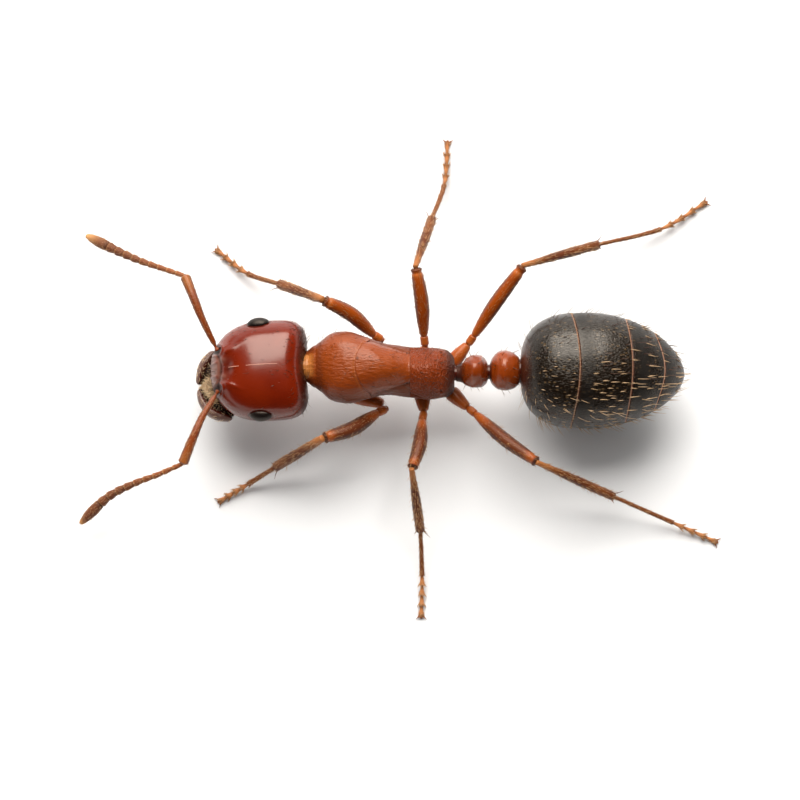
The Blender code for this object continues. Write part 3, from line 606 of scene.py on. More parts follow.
def bristle_finish(name, colour):
    """Hair: one colour that varies a little from place to place."""
    finish = Finish(name, IOR=1.55, Roughness=0.35)
    deeper = [0.6 * part for part in colour]
    finish.set("Base Color", finish.mix(finish.noise(8.0, 1.0) * 0.6, colour, deeper))
    return finish.material


def make_finishes():
    """Every finish of the ant, by its look. Colours are linear red, green and blue."""
    amber, brown = (0.50, 0.20, 0.05), (0.045, 0.011, 0.006)
    shells = (  # look, name, body, deep, dark and pale colour, roughness, grain, coat, and what else differs
        # the head's grey, on the shield and cushions, is partly their duller colour and partly a painted
        # sheen
        ("head", "head_red", (0.165, 0.012, 0.0008), (0.105, 0.005, 0.0004), (0.020, 0.0026, 0.0014),
         (0.70, 0.36, 0.26), 0.25, "smooth", 0.56, {"grey": (0.150, 0.064, 0.046)}),
        ("thorax", "thorax_brown", (0.250, 0.044, 0.004), (0.165, 0.024, 0.0022), brown, amber, 0.30,
         "ripple", 0.2, {}),
        ("propodeum", "propodeum_brown", (0.220, 0.034, 0.0034), (0.140, 0.018, 0.0022), brown, amber, 0.32,
         "net", 0.0, {"grey": (0.05, 0.02, 0.02), "gloss": 0.21}),
        ("waist", "waist_brown", (0.265, 0.043, 0.0036), (0.165, 0.021, 0.002), (0.022, 0.005, 0.004), amber,
         0.22, "knot", 0.25, {"gloss": 0.4}),
        ("gaster", "gaster_black", (0.009, 0.0048, 0.0022), (0.005, 0.0028, 0.0014), (0.002, 0.001, 0.0006),
         (0.52, 0.25, 0.15), 0.22, "leather", 0.10, {
             "grey": (0.070, 0.014, 0.007), "gloss": 0.40, "fleck": (0.085, 0.054, 0.026),
             "tint": (1.0, 0.94, 0.86)}),
        ("femur", "femur_amber", (0.330, 0.060, 0.0035), (0.210, 0.034, 0.0024), (0.060, 0.014, 0.004),
         (0.58, 0.17, 0.035), 0.30, "strokes", 0.15, {}),
        ("tibia", "tibia_brown", (0.125, 0.028, 0.006), (0.070, 0.015, 0.0036), (0.036, 0.010, 0.004),
         (0.62, 0.24, 0.07), 0.36, "strokes", 0.0, {}),
        ("tarsus", "tarsus_tan", (0.270, 0.078, 0.02), (0.180, 0.048, 0.012), (0.080, 0.022, 0.008),
         (0.70, 0.30, 0.11), 0.40, "strokes", 0.0, {}),
        ("scape", "scape_red", (0.240, 0.046, 0.008), (0.150, 0.026, 0.005), (0.060, 0.015, 0.006), amber,
         0.32, "strokes", 0.1, {}),
        ("lash", "lash_brown", (0.330, 0.085, 0.02), (0.230, 0.055, 0.014), (0.095, 0.034, 0.018),
         (0.66, 0.33, 0.12), 0.42, "strokes", 0.0, {}),
        # the jaw's grey, on its upper outer band, is partly its own grey-brown and partly a painted sheen
        ("jaw", "jaw_dark", (0.060, 0.007, 0.003), (0.030, 0.004, 0.002), (0.003, 0.0012, 0.001), amber,
         0.20, "strokes", 0.3, {"grey": (0.150, 0.085, 0.070)}),
        ("eye", "eye_black", (0.007, 0.0045, 0.004), (0.004, 0.003, 0.003), (0.002, 0.001, 0.001),
         (0.06, 0.05, 0.05), 0.34, "facets", 0.0, {"gloss": 0.32}),
    )
    hairs = (
        ("seta", "seta_straw", (0.55, 0.36, 0.20)), ("fine", "seta_brown", (0.080, 0.032, 0.015)),
        # the parting's pale pink is a painted glint along its fine ridge
        ("down", "down_pale", (0.55, 0.29, 0.12)), ("parting", "parting_painted_glint", (0.75, 0.36, 0.26)),
        ("brush", "brush_gold", (0.86, 0.62, 0.36)),
    )
    finishes = {look: shell_finish(*values, **extra) for look, *values, extra in shells}
    return finishes | {look: bristle_finish(*values) for look, *values in hairs}


FINISHES = make_finishes()


# ---------------------------------------------------------------- bristles


class Coat(Work):
    """Bristles in one mesh: each is a bent spike of three sides that tapers to a point."""

    RINGS = np.array((0.0, 0.35, 0.7))  # where along a bristle its rings stand
    SIDES = 3
    PATCH = 0.003  # the width of a bristle's patch on the map

    def __init__(self, bands):
        """bands is how many skins share the unwrapped map, one band each."""
        super().__init__()
        self.bands = bands

    def grow(
        self, skin, band, count, length, width, lift, seed, keep=None, lean=1.0, spread=0.3, u_span=(0.0, 1.0)
    ):
        """Root bristles on a skin, evenly over its area where keep allows."""
        rng = np.random.default_rng(seed)
        u = rng.uniform(*u_span, count * 6)
        v = rng.uniform(0.0, 1.0, count * 6)
        chance = np.linalg.norm(np.cross(*skin.steps(u, v)), axis=1)
        if keep is not None:
            chance = chance * keep(skin.place(u, v), u, v, skin.directions(u, v))
        taken = min(count, int((chance > 0).sum()))
        chosen = rng.choice(len(u), taken, replace=False, p=chance / chance.sum())
        self.root(skin, band, u[chosen], v[chosen], length, width, lift, lean, spread, rng)

    def comb(self, skin, band, count, row, length, width, lift, seed, wander=0.02, turns=(0.0, 1.0)):
        """Root one row of bristles round a skin, at a share of its length, evenly but not quite."""
        rng = np.random.default_rng(seed)
        v = between(turns, (np.arange(count) + rng.uniform(-0.3, 0.3, count)) / count)
        self.root(skin, band, row + rng.normal(0.0, wander, count), v, length, width, lift, 1.0, 0.05, rng)

    def root(self, skin, band, u, v, length, width, lift, lean, spread, rng):
        """Bristles at these places of a skin.

        A bristle leaves at lift degrees over the skin, leaning along it toward the rear (lean 1)
        or the front (lean -1), turns sideways at random by spread, and droops back to the skin.
        """
        points, normals = skin.place(u, v), skin.directions(u, v)
        lie = lean * unit(skin.steps(u, v)[0])
        lie = unit(lie + np.cross(normals, lie) * rng.normal(0.0, spread, (len(u), 1)))
        angle = np.radians(lift + rng.normal(0.0, 0.15 * lift, (len(u), 1)))
        lengths = length * rng.uniform(0.65, 1.15, (len(u), 1))
        shares = np.array([*self.RINGS, 1.0])[:, None]
        rise = (np.sin(angle) * lengths)[:, None] * normals[:, None] * (shares - 0.15 * shares**2)
        run = (np.cos(angle) * lengths)[:, None] * lie[:, None] * (shares + 0.05 * shares**2)
        spine = (points - normals * 0.3 * width)[:, None] + rise + run
        side = np.cross(normals, lie)
        turns = np.arange(self.SIDES)[:, None] * TAU / self.SIDES
        round_spine = np.cos(turns) * side[:, None] + np.sin(turns) * np.cross(lie, side)[:, None]
        radii = (width / 2.0) * (1.0 - self.RINGS**1.5 * 0.9)[:, None, None]
        rings = spine[:, :-1, None] + round_spine[:, None] * radii
        self.add_spikes(rings, spine[:, -1:], band, u, v)

    def add_spikes(self, rings, tips, band, u, v):
        """Rings joined by quads, with a point at the tip, a floor at the root and a patch on the map."""
        count, rows, sides = rings.shape[:3]
        points = np.concatenate([rings.reshape(count, -1, 3), tips], axis=1).reshape(-1, 3)
        ring = np.arange(rows * sides).reshape(rows, sides)
        after = np.roll(ring, -1, axis=1)
        quads = np.stack([ring[:-1], after[:-1], after[1:], ring[1:]], -1)
        tip = np.stack([ring[-1], after[-1], np.full(sides, rows * sides)], -1)
        pattern = np.concatenate([quads.ravel(), tip.ravel(), ring[0][::-1]])
        sizes = np.repeat((4, 3, sides), ((rows - 1) * sides, sides, 1))
        corners = (np.arange(count)[:, None] * (rows * sides + 1) + pattern).ravel()
        patch = self.PATCH * np.random.default_rng(7).random((len(pattern), 2))
        start, width = band if isinstance(band, tuple) else (band, 1.0)
        roots = np.stack([(start + width * (0.02 + 0.96 * u)) / self.bands, 0.01 + 0.97 * (v % 1.0)], -1)
        maps = (roots[:, None] + patch).reshape(-1, 2)
        self.add(points, np.zeros((len(points), len(TONES))), corners, np.tile(sizes, count), maps)

    def finish(self, name, look):
        """The bristles as one piece."""
        super().finish(name, look, "seta", map_name="OFBake")


# ---------------------------------------------------------------- head


def head_frame(extra_yaw=0.0):
    """From the head's own frame to the model's: a turn and a place."""
    turn = Matrix.Rotation(HEAD_YAW + extra_yaw, 3, "Z") @ Matrix.Rotation(HEAD_PITCH, 3, "Y")
    return np.array(turn @ Matrix.Rotation(HEAD_ROLL, 3, "X")), np.array(HEAD_PLACE)


def to_head(points):
    """The model's points in the head's own frame."""
    turn, place = head_frame()
    return (points - place) @ turn


def from_head(points, extra_yaw=0.0):
    """Points of the head's own frame in the model's."""
    turn, place = head_frame(extra_yaw)
    return points @ turn.T + place


def head_surface(x, angle):
    """Points of the head in its own frame, from the place along it and the angle round it."""
    across, up = superellipse(angle, HEAD_SQUARENESS)
    y = (HEAD_HALF_WIDTH - INSET) * HEAD_PLAN.share(x) * across
    z = (np.where(up > 0.0, HEAD_RISE, HEAD_DROP) - INSET) * HEAD_SIDE.share(x) * up
    nape = np.clip((x - NAPE_START_X) / (HEAD_NAPE_X - NAPE_START_X), 0.0, 1.0)
    dented = x - NAPE_DENT * nape * hump(y, NAPE_DENT_WIDTH)
    from_lobe = ((x - LOBE_PLACE[0]) / LOBE_SIZE[0]) ** 2 + ((abs(y) - LOBE_PLACE[1]) / LOBE_SIZE[1]) ** 2
    lobe = LOBE_RISE * np.exp(-from_lobe) * np.clip(up, 0.0, 1.0)
    return np.stack(np.broadcast_arrays(dented, y, z + lobe), axis=-1)


def head_form(u, v):
    """u runs from mouth to nape, evenly round the head's plan; v is the turn round it."""
    turn = (u - 0.5) * math.pi * 0.999
    return from_head(head_surface(HEAD_PLAN.at(turn), TAU * v))


def eye_angle(y):
    """How high the eye of that side sits round the head."""
    return np.where(y > 0.0, EYE_ANGLES["R"], EYE_ANGLES["L"])


def face_places(points):
    """Places on the head, and how they lie to its features.

    After x, y, z and the share of the upper side come the distances behind the shield's curved
    rear edge, from the nearer feeler pit and from the nearer cushion, the distance from the eye
    (1 on its rim), and the share of the shield itself.
    """
    x, y, z = split(to_head(points))
    rear = SHIELD_REAR_X - 0.06 * (y / SHIELD_HALF_WIDTH) ** 2
    pit = np.hypot(x - SOCKET_PLACE[0], abs(y) - SOCKET_PLACE[1])
    cushion = np.hypot(x - CUSHION_PLACE[0], 1.2 * (abs(y) - CUSHION_PLACE[1]))
    turn = np.arctan2(z / 0.40, abs(y) / 0.61)
    eye = np.hypot((x - EYE_PLACE) / (EYE_HALF_LENGTH + 0.012), (turn - eye_angle(y)) / 0.24)
    inside = 1.0 - ease(abs(y), SHIELD_HALF_WIDTH - 0.03, SHIELD_HALF_WIDTH)
    shield = (1.0 - ease(x, rear - 0.030, rear + 0.030)) * inside
    return x, y, z, ease(z, -0.02, 0.08), x - rear, pit, cushion, eye, shield


def head_relief(points):
    """Shield and its two keels, feeler pits, brow ridges, the parting and the cheek folds."""
    x, y, z, top, behind, pit, cushion, eye, shield = face_places(points)
    near = 1.0 - ease(abs(y), SHIELD_HALF_WIDTH, SHIELD_HALF_WIDTH + 0.04)
    step = 0.010 * shield - 0.010 * hump(behind - 0.015, 0.026) * near
    keels = 0.012 * hump(abs(y) - 0.070 - 0.15 * (x + 0.59), 0.015) * (1.0 - ease(x, -0.50, -0.45))
    sockets = -0.050 * hump(pit, SOCKET_RADIUS) + 0.014 * hump(pit - 1.4 * SOCKET_RADIUS, 0.018)
    ridge_y = 0.19 + 0.12 * ease(x, -0.42, -0.05)
    ridges = 0.008 * hump(abs(y) - ridge_y, 0.022) * ease(x, -0.44, -0.36) * (1.0 - ease(x, -0.30, -0.08))
    between = -0.022 * hump(y, 0.10) * hump(x + 0.345, 0.070) + 0.010 * hump(y, 0.020) * hump(x + 0.33, 0.06)
    orbit = -0.007 * hump(eye - 1.0, 0.10)
    throat = -0.012 * hump(y, 0.012) * (z < 0.0) * hump(x, 0.4)
    return top * (step + keels + sockets + ridges + between + 0.012 * hump(cushion, 0.035)) + orbit + throat


def head_marks(points, u, v):
    """Painted shade in the feeler pits, the groove behind the shield, the hollow of the brow, round the eyes,
    at the nape and on the underside; darker at the mouth end; grey on the shield and the cushions behind it,
    partly their duller colour and partly a painted sheen.
    """
    x, y, z, top, behind, pit, cushion, eye, shield = face_places(points)
    # painted shade in the feeler pits and in the groove behind the shield
    dark = 0.80 * hump(pit, 0.050) * top + 0.75 * hump(behind - 0.014, 0.020) * top * (abs(y) < 0.24)
    # painted shade in the hollow of the brow between the frontal lobes
    dark += 0.55 * hump(x + 0.345, 0.085) * hump(y, 0.15) * top
    # darker at the mouth end; painted shade at the nape, where the thorax meets the head
    dark += 0.80 * (1.0 - ease(x, -0.56, -0.42)) * (1.0 - shield * top) + 0.85 * ease(x, 0.47, 0.57)
    # painted shade on the underside
    dark += 0.35 * (1.0 - ease(z, -0.30, -0.05))
    # painted shade in the groove round each eye
    dark += 0.75 * hump(eye - 0.9, 0.20)
    # grey on the shield and cushions: partly their duller colour, partly a painted sheen
    grey = 0.85 * shield * top * (1.0 - 0.6 * hump(abs(y) - 0.10, 0.02) * hump(x + 0.50, 0.03))
    return dark, 0.0, grey + 0.65 * hump(cushion, 0.048) * top


HEAD = Skin(head_form, head_relief, head_marks)


def eye_skin(sign):
    """A low dome on the side of the head, with its facets.

    u runs from its crown out to its rim, and from there back beneath it. The height of the dome
    is 1 - reach^2 to the power of 0.7, and the facets are the sum of three waves 60 degrees apart.
    """

    def form(u, v):
        outer = u < EYE_DOME
        reach = np.where(outer, np.sin(u / EYE_DOME * math.pi / 2.0), (1.0 - u) / (1.0 - EYE_DOME))
        height = np.where(outer, EYE_RIM + EYE_BULGE * np.maximum(1.0 - reach**2, 0.0) ** 0.7, 0.0)
        x = EYE_PLACE + EYE_HALF_LENGTH * reach * np.cos(TAU * v)
        turn = EYE_HALF_TURN * reach * np.sin(TAU * v)
        row, column = TAU * x / EYE_FACET, TAU * turn * 0.55 / EYE_FACET
        facets = np.cos(row) + np.cos(0.5 * row + 0.866 * column) + np.cos(0.5 * row - 0.866 * column)
        height = height + np.where(outer, 0.0005 * facets * (1.0 - ease(reach, 0.90, 1.0)), 0.0)
        angle = eye_angle(sign) + turn
        angle = angle if sign > 0 else math.pi - angle
        step = 0.01
        along = head_surface(x + step, angle) - head_surface(x - step, angle)
        around = head_surface(x, angle + step) - head_surface(x, angle - step)
        return from_head(head_surface(x, angle) + unit(np.cross(around, along)) * height[..., None])

    return Skin(form)


def jaw_skin(side, sign):
    """A mandible: a tube along an arc, flattened inward, with a row of teeth on its inner edge."""
    path = Path(*((x, sign * y, JAW_DROP) for x, y in JAW_ARCS[side]))

    def form(u, v):
        share, angle = soft(u), TAU * v
        middle, side, up = path.frames(share)
        swell = (0.45 + 0.55 * np.sin(math.pi * share**0.8)) * (JAW_THICKNESS - INSET)
        ends = np.sqrt(np.maximum(1.0 - (1.0 - np.minimum(share, 1.0 - share) / 0.10).clip(0.0) ** 2, 0.0))
        inner = np.clip(-sign * np.cos(angle), 0.0, 1.0) ** 2
        wave = 0.5 + 0.5 * np.cos(TAU * JAW_TEETH * share / 0.72)
        tooth = wave**1.5 * ease(share, 0.20, 0.30) * (0.8 + 0.4 * share)
        width = ends * (swell * (1.0 + 0.10 * inner) + 0.080 * tooth * inner)
        height = ends * np.maximum(JAW_HALF_HEIGHT / JAW_THICKNESS * swell * (1.0 - 0.45 * inner), 0.0)
        points = middle + (width * np.cos(angle))[..., None] * side + (height * np.sin(angle))[..., None] * up
        return from_head(points, JAW_TURN)

    def marks(points, u, v):
        inner = -sign * np.cos(TAU * v)
        dark = ease(inner, 0.25, 0.80) + 0.3 * ease(soft(u), 0.75, 1.0)
        # grey on the upper outer band: partly the jaw's own grey-brown, partly a painted sheen
        return dark, 0.0, 0.9 * (1.0 - ease(inner, -0.20, 0.30)) * ease(np.sin(TAU * v), -0.3, 0.1)

    return Skin(form, marks=marks)


JAWS = {"L": jaw_skin("L", -1.0), "R": jaw_skin("R", 1.0)}


def mouth_form(u, v):
    """The floor of the mouth, an egg between the jaws: u runs from front to rear, v round it."""
    turn = math.pi * (0.001 + 0.998 * u)
    ball = (-np.cos(turn), np.sin(turn) * np.cos(TAU * v), np.sin(turn) * np.sin(TAU * v))
    return from_head(np.stack(ball, -1) * MOUTH_HALF_SIZES + MOUTH_PLACE, JAW_TURN)


MOUTH = Skin(mouth_form, marks=lambda points, u, v: (0.6 + 0.0 * u,))


# ---------------------------------------------------------------- plates of the thorax, waist and gaster


def plate_skin(stations, start, stop, sweeps, squareness, lips, relief, marks):
    """One body plate as a closed skin.

    Its side follows the stations from the front seam to the rear one. Each rim turns inward on a
    quarter circle of its lip's radius, and the ends close over a flat dish. Sweeps move the sides
    along X by their distance out squared, so that a seam curves as the plate's edge does.
    """
    arc = np.linspace(0.0, math.pi / 2.0, 9)
    out, inward = 1.0 - np.cos(arc), 1.0 - np.sin(arc)
    x_knots = np.concatenate([[start], start + lips[0] * out, (stop - lips[1] * out)[::-1], [stop]])
    in_knots = np.concatenate([[1.0], lips[0] * inward, (lips[1] * inward)[::-1], [1.0]])
    lip_knots = 0.05 + 0.05 * np.linspace(0.0, 1.0, 9)
    u_knots = np.concatenate([[0.0], lip_knots, 1.0 - lip_knots[::-1], [1.0]])

    def form(u, v):
        across, up = superellipse(TAU * v, squareness)
        x = np.interp(u, u_knots, x_knots)
        inward = np.interp(u, u_knots, in_knots)
        bend = sweeps[0] + (sweeps[1] - sweeps[0]) * (x - start) / (stop - start)
        middle_y, half_width, top, bottom, lean = smooth_rows(stations, x + bend * across**2)
        half_height = (top - bottom) / 2.0
        scale_y = np.clip(1.0 - (INSET + inward) / half_width, 0.02, 1.0)
        scale_z = np.clip(1.0 - (INSET + inward) / half_height, 0.02, 1.0)
        y = middle_y + scale_y * half_width * across * (1.0 - lean * np.clip(up, 0.0, 1.0))
        z = (top + bottom) / 2.0 + scale_z * half_height * up
        return np.stack(np.broadcast_arrays(x + bend * (scale_y * across) ** 2, y, z), -1)

    return Skin(form, relief, marks)


def pronotum_relief(points):
    """The shallow shoulder folds and a faint hollow behind the collar."""
    x, y, z = split(points)
    shoulder = 0.012 * hump(abs(y - 0.03) - 0.26, 0.09) * hump(x + 0.72, 0.12) * ease(z, 0.8, 1.1)
    return shoulder - 0.006 * hump(x + 1.030, 0.016) + 0.004 * hump(x - 0.21 * (y / 0.44) ** 2 + 0.560, 0.014)


def pronotum_marks(points, u, v):
    """An amber collar streaked with painted highlights, a red band behind it, painted shade low down, on the
    flanks and on the collar's sides, and a pale edge at the shoulder seam.
    """
    x, y, z = split(points)
    # the collar's pale streaks are painted highlights over its amber
    glint_streaks = 0.75 + 0.25 * np.cos(x * TAU / 0.016)
    aside = ease(abs(y - 0.045), 0.10, 0.17)
    pale = 0.80 * hump(x + 1.095, 0.040) * ease(z, 0.80, 1.0) * glint_streaks * (1.0 - aside)
    seam = SHOULDER_SEAM_X + SHOULDER_SEAM_SWEEP * (y / 0.40) ** 2
    pale += 0.10 * hump(x - seam + 0.022, 0.014) * ease(z, 0.95, 1.1)
    # painted shade low on the sides; the red band behind the collar is its own colour
    dark = 0.55 * (1.0 - ease(z, 0.72, 0.95)) + 0.40 * hump(x + 0.985, 0.040)
    # painted shade on the flanks and on the sides of the collar
    dark += 0.35 * ease(abs(y - 0.03), 0.28, 0.44)
    dark += 0.6 * (1.0 - ease(x, -1.10, -1.00)) * ease(abs(y - 0.045), 0.12, 0.19)
    return dark + 0.8 * hump(u - 1.0, 0.06), pale


def back_places(points):
    """x, y, z, the distance out, the edge of the back plate there, and the distance from a breathing hole."""
    x, y, z = split(points)
    out = abs(y - 0.008)
    return x, y, z, out, np.interp(x, *BACK_PLATE_EDGE), np.hypot(x - 0.085, out - 0.185)


def mesothorax_relief(points):
    """The egg-shaped back plate, set off from the flanks by a groove, and slanting flank folds."""
    x, _, z, out, edge, hole = back_places(points)
    top = ease(z, 0.92, 1.05)
    groove = -0.010 * hump(out - edge, 0.014) * top
    dome = 0.010 * (1.0 - ease(out, edge - 0.06, edge)) * top
    fold = -0.016 * hump(x + 0.22 + 0.55 * (z - 0.85), 0.020) * (1.0 - top) * ease(out, 0.15, 0.22)
    spiracle = 0.014 * hump(hole, 0.026) - 0.020 * hump(hole, 0.010)
    return groove + dome + fold + spiracle * ease(z, 0.9, 1.0)


def mesothorax_marks(points, u, v):
    """Painted shade low down, on the flanks, in the groove and in the breathing hole; dark seams and one dark
    pit in front.
    """
    x, y, z, out, edge, hole = back_places(points)
    # painted shade low down and in the groove round the back plate
    dark = 0.55 * (1.0 - ease(z, 0.75, 1.02)) + 0.35 * hump(out - edge, 0.014) * ease(z, 0.92, 1.05)
    # painted shade in the breathing hole, and one dark pit in front
    dark += 0.9 * hump(hole, 0.010) + 0.9 * hump(np.hypot(x + 0.520, y - 0.10), 0.016)
    # painted shade on the flanks beyond the back plate; dark seams at both ends
    dark += 0.45 * ease(out, edge - 0.02, edge + 0.03) + 0.7 * hump(u, 0.06) + 0.6 * hump(u - 1.0, 0.07)
    return (dark,)


def propodeum_places(points):
    """x, z, the distance out, and the distance from a breathing hole."""
    x, y, z = split(points)
    out = abs(y + 0.03)
    return x, z, out, np.hypot(x - 0.500, out - 0.235)


def propodeum_relief(points):
    """Breathing holes on low cones, a swelling over each hind hip and folds on the flanks."""
    x, z, out, hole = propodeum_places(points)
    spiracle = 0.018 * hump(hole, 0.034) - 0.026 * hump(hole, 0.012)
    swelling = 0.016 * hump(np.hypot(x - 0.60, z - 0.74), 0.075) * ease(out, 0.15, 0.22)
    fold = -0.014 * hump(z - 0.90 + 0.25 * (x - 0.35), 0.018) * ease(out, 0.2, 0.26)
    return spiracle * (z > 0.85) + swelling + fold


def propodeum_marks(points, u, v):
    """Painted shade low down, on the flanks, on the steep rear face and in the breathing holes; greyish at
    both ends, the rear grey being part of that painted shade.
    """
    x, z, out, hole = propodeum_places(points)
    # painted shade low down and on the steep rear face toward the waist
    dark = 0.55 * (1.0 - ease(z, 0.72, 0.95)) + 0.80 * ease(x, 0.50, 0.61)
    # painted shade in the breathing holes and on the flanks
    dark += 0.9 * hump(hole, 0.013) * (z > 0.85) + 0.30 * ease(out, 0.18, 0.30)
    # greyer at the rear as part of the painted shade there, and at the front seam
    return dark, 0.0, 0.2 * ease(x, 0.56, 0.64) + 0.25 * hump(u, 0.10)


def knot_marks(stalk):
    """Painted shade below a waist knot; dark on its stalk or front rim as far as that share, and at its rear
    rim.
    """

    def marks(points, u, v):
        # painted shade below the knot
        low = 1.0 - ease(points[..., 2], 0.74, 0.95)
        return (0.6 * low + 0.85 * (1.0 - ease(u, 0.6 * stalk, stalk)) + 0.50 * ease(u, 0.84, 0.98),)

    return marks


def gaster_outline(x, step):
    """The gaster's middle, half-width, top and bottom at x, drawn in by step."""
    rear = np.clip((x - GASTER_WIDEST_X) / (GASTER_TIP_X - GASTER_WIDEST_X), 0.0, 1.0)
    front = np.clip((GASTER_WIDEST_X - x) / (GASTER_WIDEST_X - GASTER_FRONT_X), 0.0, 1.0)
    middle_z = GASTER_MIDDLE_Z - GASTER_TIP_DROP * rear**2 - GASTER_NECK_DROP * front**2
    half_width = np.maximum(GASTER_HALF_WIDTH * GASTER_PLAN.share(x) - step, 0.004)
    side = np.maximum(GASTER_SIDE.share(x), 0.006)
    top, bottom = middle_z + GASTER_RISE * side - step, middle_z - GASTER_DROP * side + step
    return GASTER_TIP_SWING * rear**3, half_width, top, bottom


def gaster_skin(plate):
    """One plate of the gaster, laid out evenly round the egg's outline.

    u runs along the egg; the rims turn inward by a lip, and the front and rear close in a dish.
    """
    seams = [(GASTER_FRONT_X + GAP * 0.7, 0.0), *GASTER_SEAMS, (GASTER_TIP_X - GAP * 0.4, 0.0)]
    (start, front_sweep), (stop, rear_sweep) = seams[plate], seams[plate + 1]
    first, last = plate == 0, plate == len(GASTER_SEAMS)
    turns = GASTER_PLAN.turn(np.array((start, stop)))

    def form(u, v):
        across, up = superellipse(TAU * v, GASTER_SQUARENESS)
        share = np.clip((u - GASTER_END) / (1.0 - 2.0 * GASTER_END), 0.0, 1.0)
        x = GASTER_PLAN.at(between(turns, share))
        bend = front_sweep + (rear_sweep - front_sweep) * (x - start) / (stop - start)
        step = 0.0 if first else GASTER_STEP
        middle_y, half_width, top, bottom = gaster_outline(x + bend * across**2, step)
        near_front = 0.0 if first else np.clip(1.0 - (x - start) / GASTER_LIP, 0.0, 1.0)
        near_rear = 0.0 if last else np.clip(1.0 - (stop - x) / GASTER_LIP, 0.0, 1.0)
        tuck = GASTER_LIP * (1.0 - np.sqrt(1.0 - np.maximum(near_front, near_rear) ** 2)) + INSET
        closing = np.clip(np.minimum(u, 1.0 - u) / GASTER_END, 0.0, 1.0)
        half_height = (top - bottom) / 2.0
        scale = closing * np.clip(1.0 - tuck / np.minimum(half_width, half_height), 0.02, 1.0)
        y = middle_y + scale * half_width * across
        z = (top + bottom) / 2.0 + scale * half_height * up
        return np.stack(np.broadcast_arrays(x + bend * (scale * across) ** 2, y, z), -1)

    def marks(points, u, v):
        across, _ = superellipse(TAU * v, GASTER_SQUARENESS)
        share = np.clip((u - GASTER_END) / (1.0 - 2.0 * GASTER_END), 0.0, 1.0)
        x = points[..., 0] - (front_sweep + (rear_sweep - front_sweep) * share) * across**2
        pale = GASTER_PALE[plate] * hump(stop - x - 0.003, 0.008)
        # painted shade in a band behind the front edge, where the plate runs in under the one before
        dark = 0.0 if first else 0.85 * hump(x - start - GASTER_SHADE_BANDS[plate], 0.09)
        grey = 0.55 * (1.0 - ease(x, start + 0.02, start + 0.16)) if first else 0.5 * hump(x - start, 0.012)
        return dark, pale, grey

    return Skin(form, marks=marks)


# ---------------------------------------------------------------- limbs


def limb_skin(path, radius, span=(0.0, 1.0), caps=(1.0, 1.0), marks=None):
    """A tube along part of a path, with rows closer together toward its rounded ends.

    The radius is radius(s), s being 0 to 1 over the span. Over a cap's length d from an end it
    is multiplied by the square root of 1 - (1 - d / cap)^2, so that the end is a half ball.
    """
    length = path.length * (span[1] - span[0])
    cap_lengths = [cap * float(radius(np.array(end))) / length for cap, end in zip(caps, (0.0, 1.0))]

    def form(u, v):
        s, angle = soft(u), TAU * v
        middle, side, up = path.frames(between(span, s))
        front = np.clip(1.0 - s / cap_lengths[0], 0.0, 1.0)
        rear = np.clip(1.0 - (1.0 - s) / cap_lengths[1], 0.0, 1.0)
        r = radius(s) * np.sqrt(1.0 - front**2) * np.sqrt(1.0 - rear**2)
        return middle + (r * np.cos(angle))[..., None] * side + (r * np.sin(angle))[..., None] * up

    return Skin(form, marks=marks)


def swelling(radii, belly, scale):
    """A radius that runs from the first to the last of radii, with a belly between them."""
    power = math.log(0.5) / math.log(BELLY_PLACE)
    return lambda s: scale * (between(radii, s) + belly * np.sin(math.pi * s**power) - INSET)


def profile(rows, scale):
    """A radius that follows rows of place and radius, times scale."""
    return lambda s: scale * smooth_rows(rows, s)[0]


def ring_tones(front, rear=0.0, middle=0.0, reach=0.12, pale=(0.0, 0.5, 0.05)):
    """Darker rings at the two ends of a limb joint, and a pale one: its strength, place and width."""
    strength, place, width = pale

    def marks(points, u, v):
        s = soft(u)
        dark = middle + front * (1.0 - ease(s, 0.0, reach)) + rear * ease(s, 1.0 - reach, 1.0)
        return dark, strength * hump(s - place, width)

    return marks


def scape_tones(points, u, v):
    """A scape: painted shade and a painted grey sheen along its flanks, orange toward the elbow."""
    s, edge = soft(u), ease(abs(np.cos(TAU * v)), 0.50, 0.95)
    # painted shade and a painted grey sheen on the flanks, where the tube turns away from the light
    return 0.45 * edge + 0.15 * hump(s - 0.45, 0.30), 0.32 * ease(s, 0.68, 0.95) * (1.0 - edge), 0.25 * edge


def thigh_tones(painted_shade):
    """A thigh: painted shade and a painted grey sheen on its flanks, a belly darkened by painted_shade, amber
    ends, and a dark cuff behind a pale patch that is a painted glint on its upper side.
    """

    def marks(points, u, v):
        s, edge = soft(u), ease(abs(np.cos(TAU * v)), 0.50, 0.95)
        belly = ease(s, 0.10, 0.36) * (1.0 - 0.7 * ease(s, 0.78, 0.92))
        # painted shade on the flanks and, by painted_shade, on the belly; the cuff at the knee is dark
        dark = (painted_shade + 0.40 * edge) * belly + 0.20 * edge + 0.80 * ease(s, 0.955, 0.985)
        # a painted glint on the upper side before the knee, fainter on the shaded left thighs
        patch = (0.42 - 0.28 * painted_shade) * hump(s - 0.915, 0.035) * (np.sin(TAU * v) > 0.2)
        # a painted grey sheen on the flanks
        return dark, 0.18 * hump(s - 0.08, 0.14) + patch, 0.35 * edge * belly

    return marks


def shin_tones(points, u, v):
    """A shin: an orange root that fades into brown, with painted shade and a painted grey sheen along its
    flanks, and darker at its end.
    """
    s, edge = soft(u), ease(abs(np.cos(TAU * v)), 0.45, 0.95)
    # painted shade on the flanks; the end at the ankle is dark
    dark = 0.50 * edge * ease(s, 0.15, 0.45) + 0.45 * ease(s, 0.95, 1.0)
    pale = 0.44 * (1.0 - ease(s, 0.06, 0.36)) + 0.14 * hump(s - 0.80, 0.12)
    # a painted grey sheen on the flanks
    return dark, pale, 0.30 * edge * ease(s, 0.2, 0.5)


